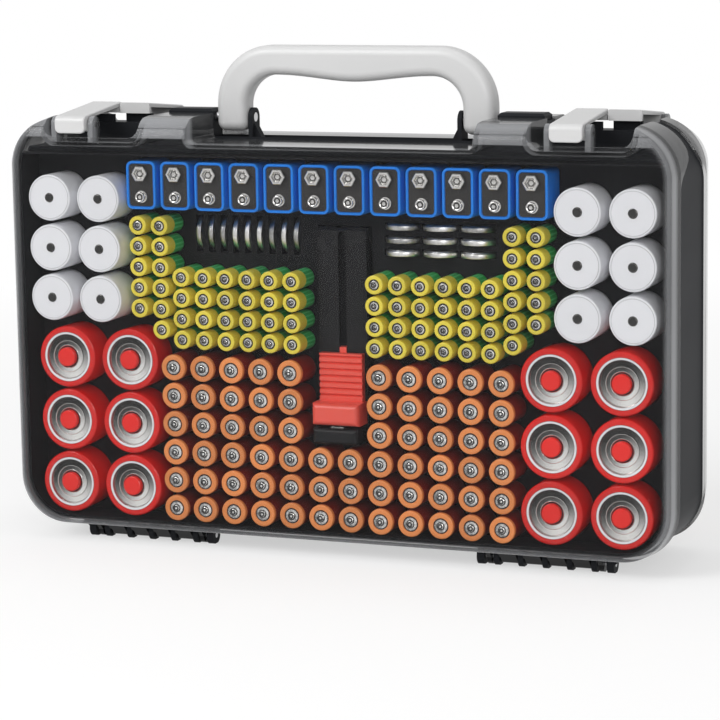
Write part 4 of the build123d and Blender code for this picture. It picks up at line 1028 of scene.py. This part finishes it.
# -------------------- rear cells
class CASE_OT_rear_cells(bpy.types.Operator):
    """Build the cells that lie in the rear tray"""

    bl_idname = "battery_case.rear_cells"
    bl_label = "Rear Cells"

    def execute(self, context):
        look = context.scene.cell_look
        caps = cap_finishes(look)
        cream = wrapped("cream_jacket", look.cream)
        dark_red = wrapped("dark_red_band", look.dark_red)
        silver = wrapped("silver_jacket", look.silver, roughness=0.2)
        black = wrapped("black_label", look.black)
        white = wrapped("pale_jacket", look.white)
        sky = wrapped("blue_label", look.sky)
        gold = wrapped("gold_jacket", look.gold, spread=0.15)
        copper = wrapped("copper_jacket", look.copper, spread=0.12)
        green = wrapped("green_band", look.green, spread=0.2)
        stripes = striped_wrap("green_jacket_rear", look.green, look.light_green, count=10, share=0.35)
        yellow = wrapped("yellow_end", look.yellow)
        rust = wrapped("rust_jacket", look.rust, spread=0.1)
        red = wrapped("red_end", look.red)
        rings = [(6, BAND_1), (8.4, BAND_2), (10.4, BAND_1), (12.8, BAND_2), (14.8, BAND_1), (17.2, BAND_2)]
        long_label = [(7, BAND_1), (24, BAND_2), (34.5, BAND_1)]
        short_label = [(3, BAND_1), (11, BAND_2), (27, BAND_1)]
        alarm = ("alarm_cell", 5.15, 28.5, [gold, silver], [(5, BAND_2), (28.5, BAND_1)])
        three_bands = [(12, BAND_1), (20, BAND_2), (43.6, BAND_3)]
        yellow_end = [(9, BAND_1), (43.6, BAND_2)]
        red_end = [(38, BAND_1), (49.3, BAND_2)]
        # Each kind: its node, slot, radius, length, the finishes of its bands, and the bands.
        kinds = [
            ("rear_lithium_cells", "lithium_cell", 9.2, 69.5, [cream, dark_red], rings + [(69.5, BAND_1)]),
            ("rear_photo_long_cells", "photo_long_cell", 8.5, 34.5, [silver, black], long_label),
            ("rear_photo_short_cells", "photo_short_cell", 7.8, 27.0, [white, sky], short_label),
            ("rear_alarm_column_cells", *alarm),
            ("rear_alarm_row_cells", *alarm),
            ("rear_copper_aaa_cells", "copper_aaa_cell", 5.15, 43.6, [copper, white, green], three_bands),
            ("rear_green_aaa_cells", "aaa_cell", 5.15, 43.6, [yellow, stripes], yellow_end),
            ("rear_aa_cells", "aa_cell", 7.15, 49.3, [rust, red], red_end),
        ]
        cap_radius, cap_height = 1.9, 0.9
        for node, slot, radius, length, jackets, bands in kinds:
            profile = capped(
                radius, length, cap_radius, cap_height,
                flange=radius * 0.5, groove=radius * 0.6, bands=bands, base=radius - 1.2,
            )
            template = turned(bmesh.new(), profile, segments=36)
            places = lying(node, cap_height)
            planted(node + "_wrapped", template, places, caps + jackets, node, seed=len(node))
        return {"FINISHED"}


# -------------------- studio
class CASE_OT_studio(bpy.types.Operator):
    """Set the floor, the lamps, the sky and the camera"""

    bl_idname = "battery_case.studio"
    bl_label = "Studio"

    def execute(self, context):
        look = context.scene.studio_look
        self.floor(context, look)
        self.lamp(context, "key", place=(-1.1, -1.6, 1.7), width=1.3, power=look.key_power)
        self.lamp(context, "fill", place=(1.2, -2.1, 0.9), width=1.2, power=look.fill_power)
        self.lamp(context, "top", place=(0.0, 0.2, 2.2), width=1.6, power=look.top_power)
        self.sky(context, look)
        self.camera(context, look)
        context.scene.view_settings.view_transform = "Standard"
        return {"FINISHED"}

    def floor(self, context, look):
        """A wide floor that keeps the case's shadow and is seen white further out."""
        half_width = 6
        mesh = bmesh.new()
        bmesh.ops.create_grid(mesh, x_segments=8, y_segments=8, size=half_width)
        data = bpy.data.meshes.new("floor")
        mesh.to_mesh(data)
        mesh.free()
        data.materials.append(self.paper(look))
        floor = bpy.data.objects.new("floor", data)
        context.scene.collection.objects.link(floor)

    def paper(self, look):
        """White paper, which turns to plain white further out from the case."""
        near, far, near_share = 0.35, 1.1, 0.55
        finish = Finish("floor_white", look.floor)
        paper = finish.node("ShaderNodeBsdfDiffuse", inputs={0: rgba(look.floor)})
        glow = finish.node("ShaderNodeEmission", inputs={0: (1, 1, 1, 1), 1: look.backdrop})
        seen = finish.ray("Is Camera Ray").larger(finish.ray("Is Transmission Ray"))
        seen = seen.larger(finish.ray("Is Glossy Ray"))
        spot = finish.node("ShaderNodeTexCoord", output="Object")
        reach = finish.node("ShaderNodeVectorMath", {"operation": "LENGTH"}, {0: spot}, output="Value")
        white = seen * finish.rise(reach, near, far, low=near_share)
        return finish.covered(finish.blend(white, paper, glow))

    def lamp(self, context, name, place, width, power):
        """A round lamp that points at the middle of the case."""
        light = bpy.data.lights.new(name, "AREA")
        light.shape = "DISK"
        light.size = width
        light.energy = power
        lamp = bpy.data.objects.new(name, light)
        lamp.location = place
        lamp.rotation_mode = "QUATERNION"
        lamp.rotation_quaternion = (LAMPS_AIM - Vector(place)).to_track_quat("-Z", "Y")
        context.scene.collection.objects.link(lamp)

    def sky(self, context, look):
        """Soft light from all round, seen and mirrored as a white backdrop."""
        world = bpy.data.worlds.new("sky")
        context.scene.world = world
        nodes = Nodes(world)
        light = nodes.node("ShaderNodeBackground", inputs={0: (1, 1, 1, 1), 1: look.sky_light})
        white = nodes.node("ShaderNodeBackground", inputs={0: (1, 1, 1, 1), 1: look.backdrop})
        seen = nodes.ray("Is Camera Ray").larger(nodes.ray("Is Transmission Ray"))
        share = nodes.node(
            "ShaderNodeMath",
            {"operation": "MULTIPLY_ADD", "use_clamp": True},
            {0: nodes.ray("Is Glossy Ray"), 1: look.mirrored, 2: seen},
        )
        nodes.node("ShaderNodeOutputWorld", inputs={0: nodes.blend(share, light, white)})

    def camera(self, context, look):
        """The camera at the photograph's viewing angle."""
        data = bpy.data.cameras.new("camera")
        data.lens = look.lens
        data.sensor_width = SENSOR_WIDTH
        data.clip_start, data.clip_end = 0.05, 40
        camera = bpy.data.objects.new("camera", data)
        ahead = Vector(CAMERA_AHEAD).normalized()
        right = ahead.cross(Vector((0, 0, 1))).normalized()
        up = right.cross(ahead)
        level = Matrix((right, up, -ahead)).transposed()
        tilt = Matrix.Rotation(radians(CAMERA_ROLL), 3, ahead)
        camera.matrix_world = Matrix.Translation(CAMERA_PLACE) @ (tilt @ level).to_4x4()
        context.scene.collection.objects.link(camera)
        context.scene.camera = camera


# -------------------- add-on
class CASE_PT_panel(bpy.types.Panel):
    """Lists the steps that dress the case"""

    bl_idname = "CASE_PT_panel"
    bl_label = "Battery Case"
    bl_space_type = "VIEW_3D"
    bl_region_type = "UI"
    bl_category = "Battery Case"

    def draw(self, context):
        for step in STEPS:
            self.layout.operator(step.bl_idname)
        for group in (context.scene.case_look, context.scene.cell_look, context.scene.studio_look):
            box = self.layout.box()
            for key in group.bl_rna.properties.keys():
                if key not in ("rna_type", "name"):
                    box.prop(group, key)


STEPS = (
    CASE_OT_body,
    CASE_OT_lids,
    CASE_OT_latches,
    CASE_OT_handle,
    CASE_OT_tester,
    CASE_OT_aa_cells,
    CASE_OT_aaa_cells,
    CASE_OT_d_cells,
    CASE_OT_c_cells,
    CASE_OT_block_cells,
    CASE_OT_coins,
    CASE_OT_rear_cells,
    CASE_OT_studio,
)
LOOKS = (("case_look", CaseLook), ("cell_look", CellLook), ("studio_look", StudioLook))


def register():
    for name, group in LOOKS:
        bpy.utils.register_class(group)
        setattr(bpy.types.Scene, name, PointerProperty(type=group))
    for item in (*STEPS, CASE_PT_panel):
        bpy.utils.register_class(item)


def unregister():
    for item in reversed((*STEPS, CASE_PT_panel)):
        bpy.utils.unregister_class(item)
    for name, group in reversed(LOOKS):
        delattr(bpy.types.Scene, name)
        bpy.utils.unregister_class(group)


def main():
    """Register the add-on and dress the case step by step."""
    register()
    for step in STEPS:
        area, verb = step.bl_idname.split(".")
        getattr(getattr(bpy.ops, area), verb)()


if __name__ == "__main__":
    main()
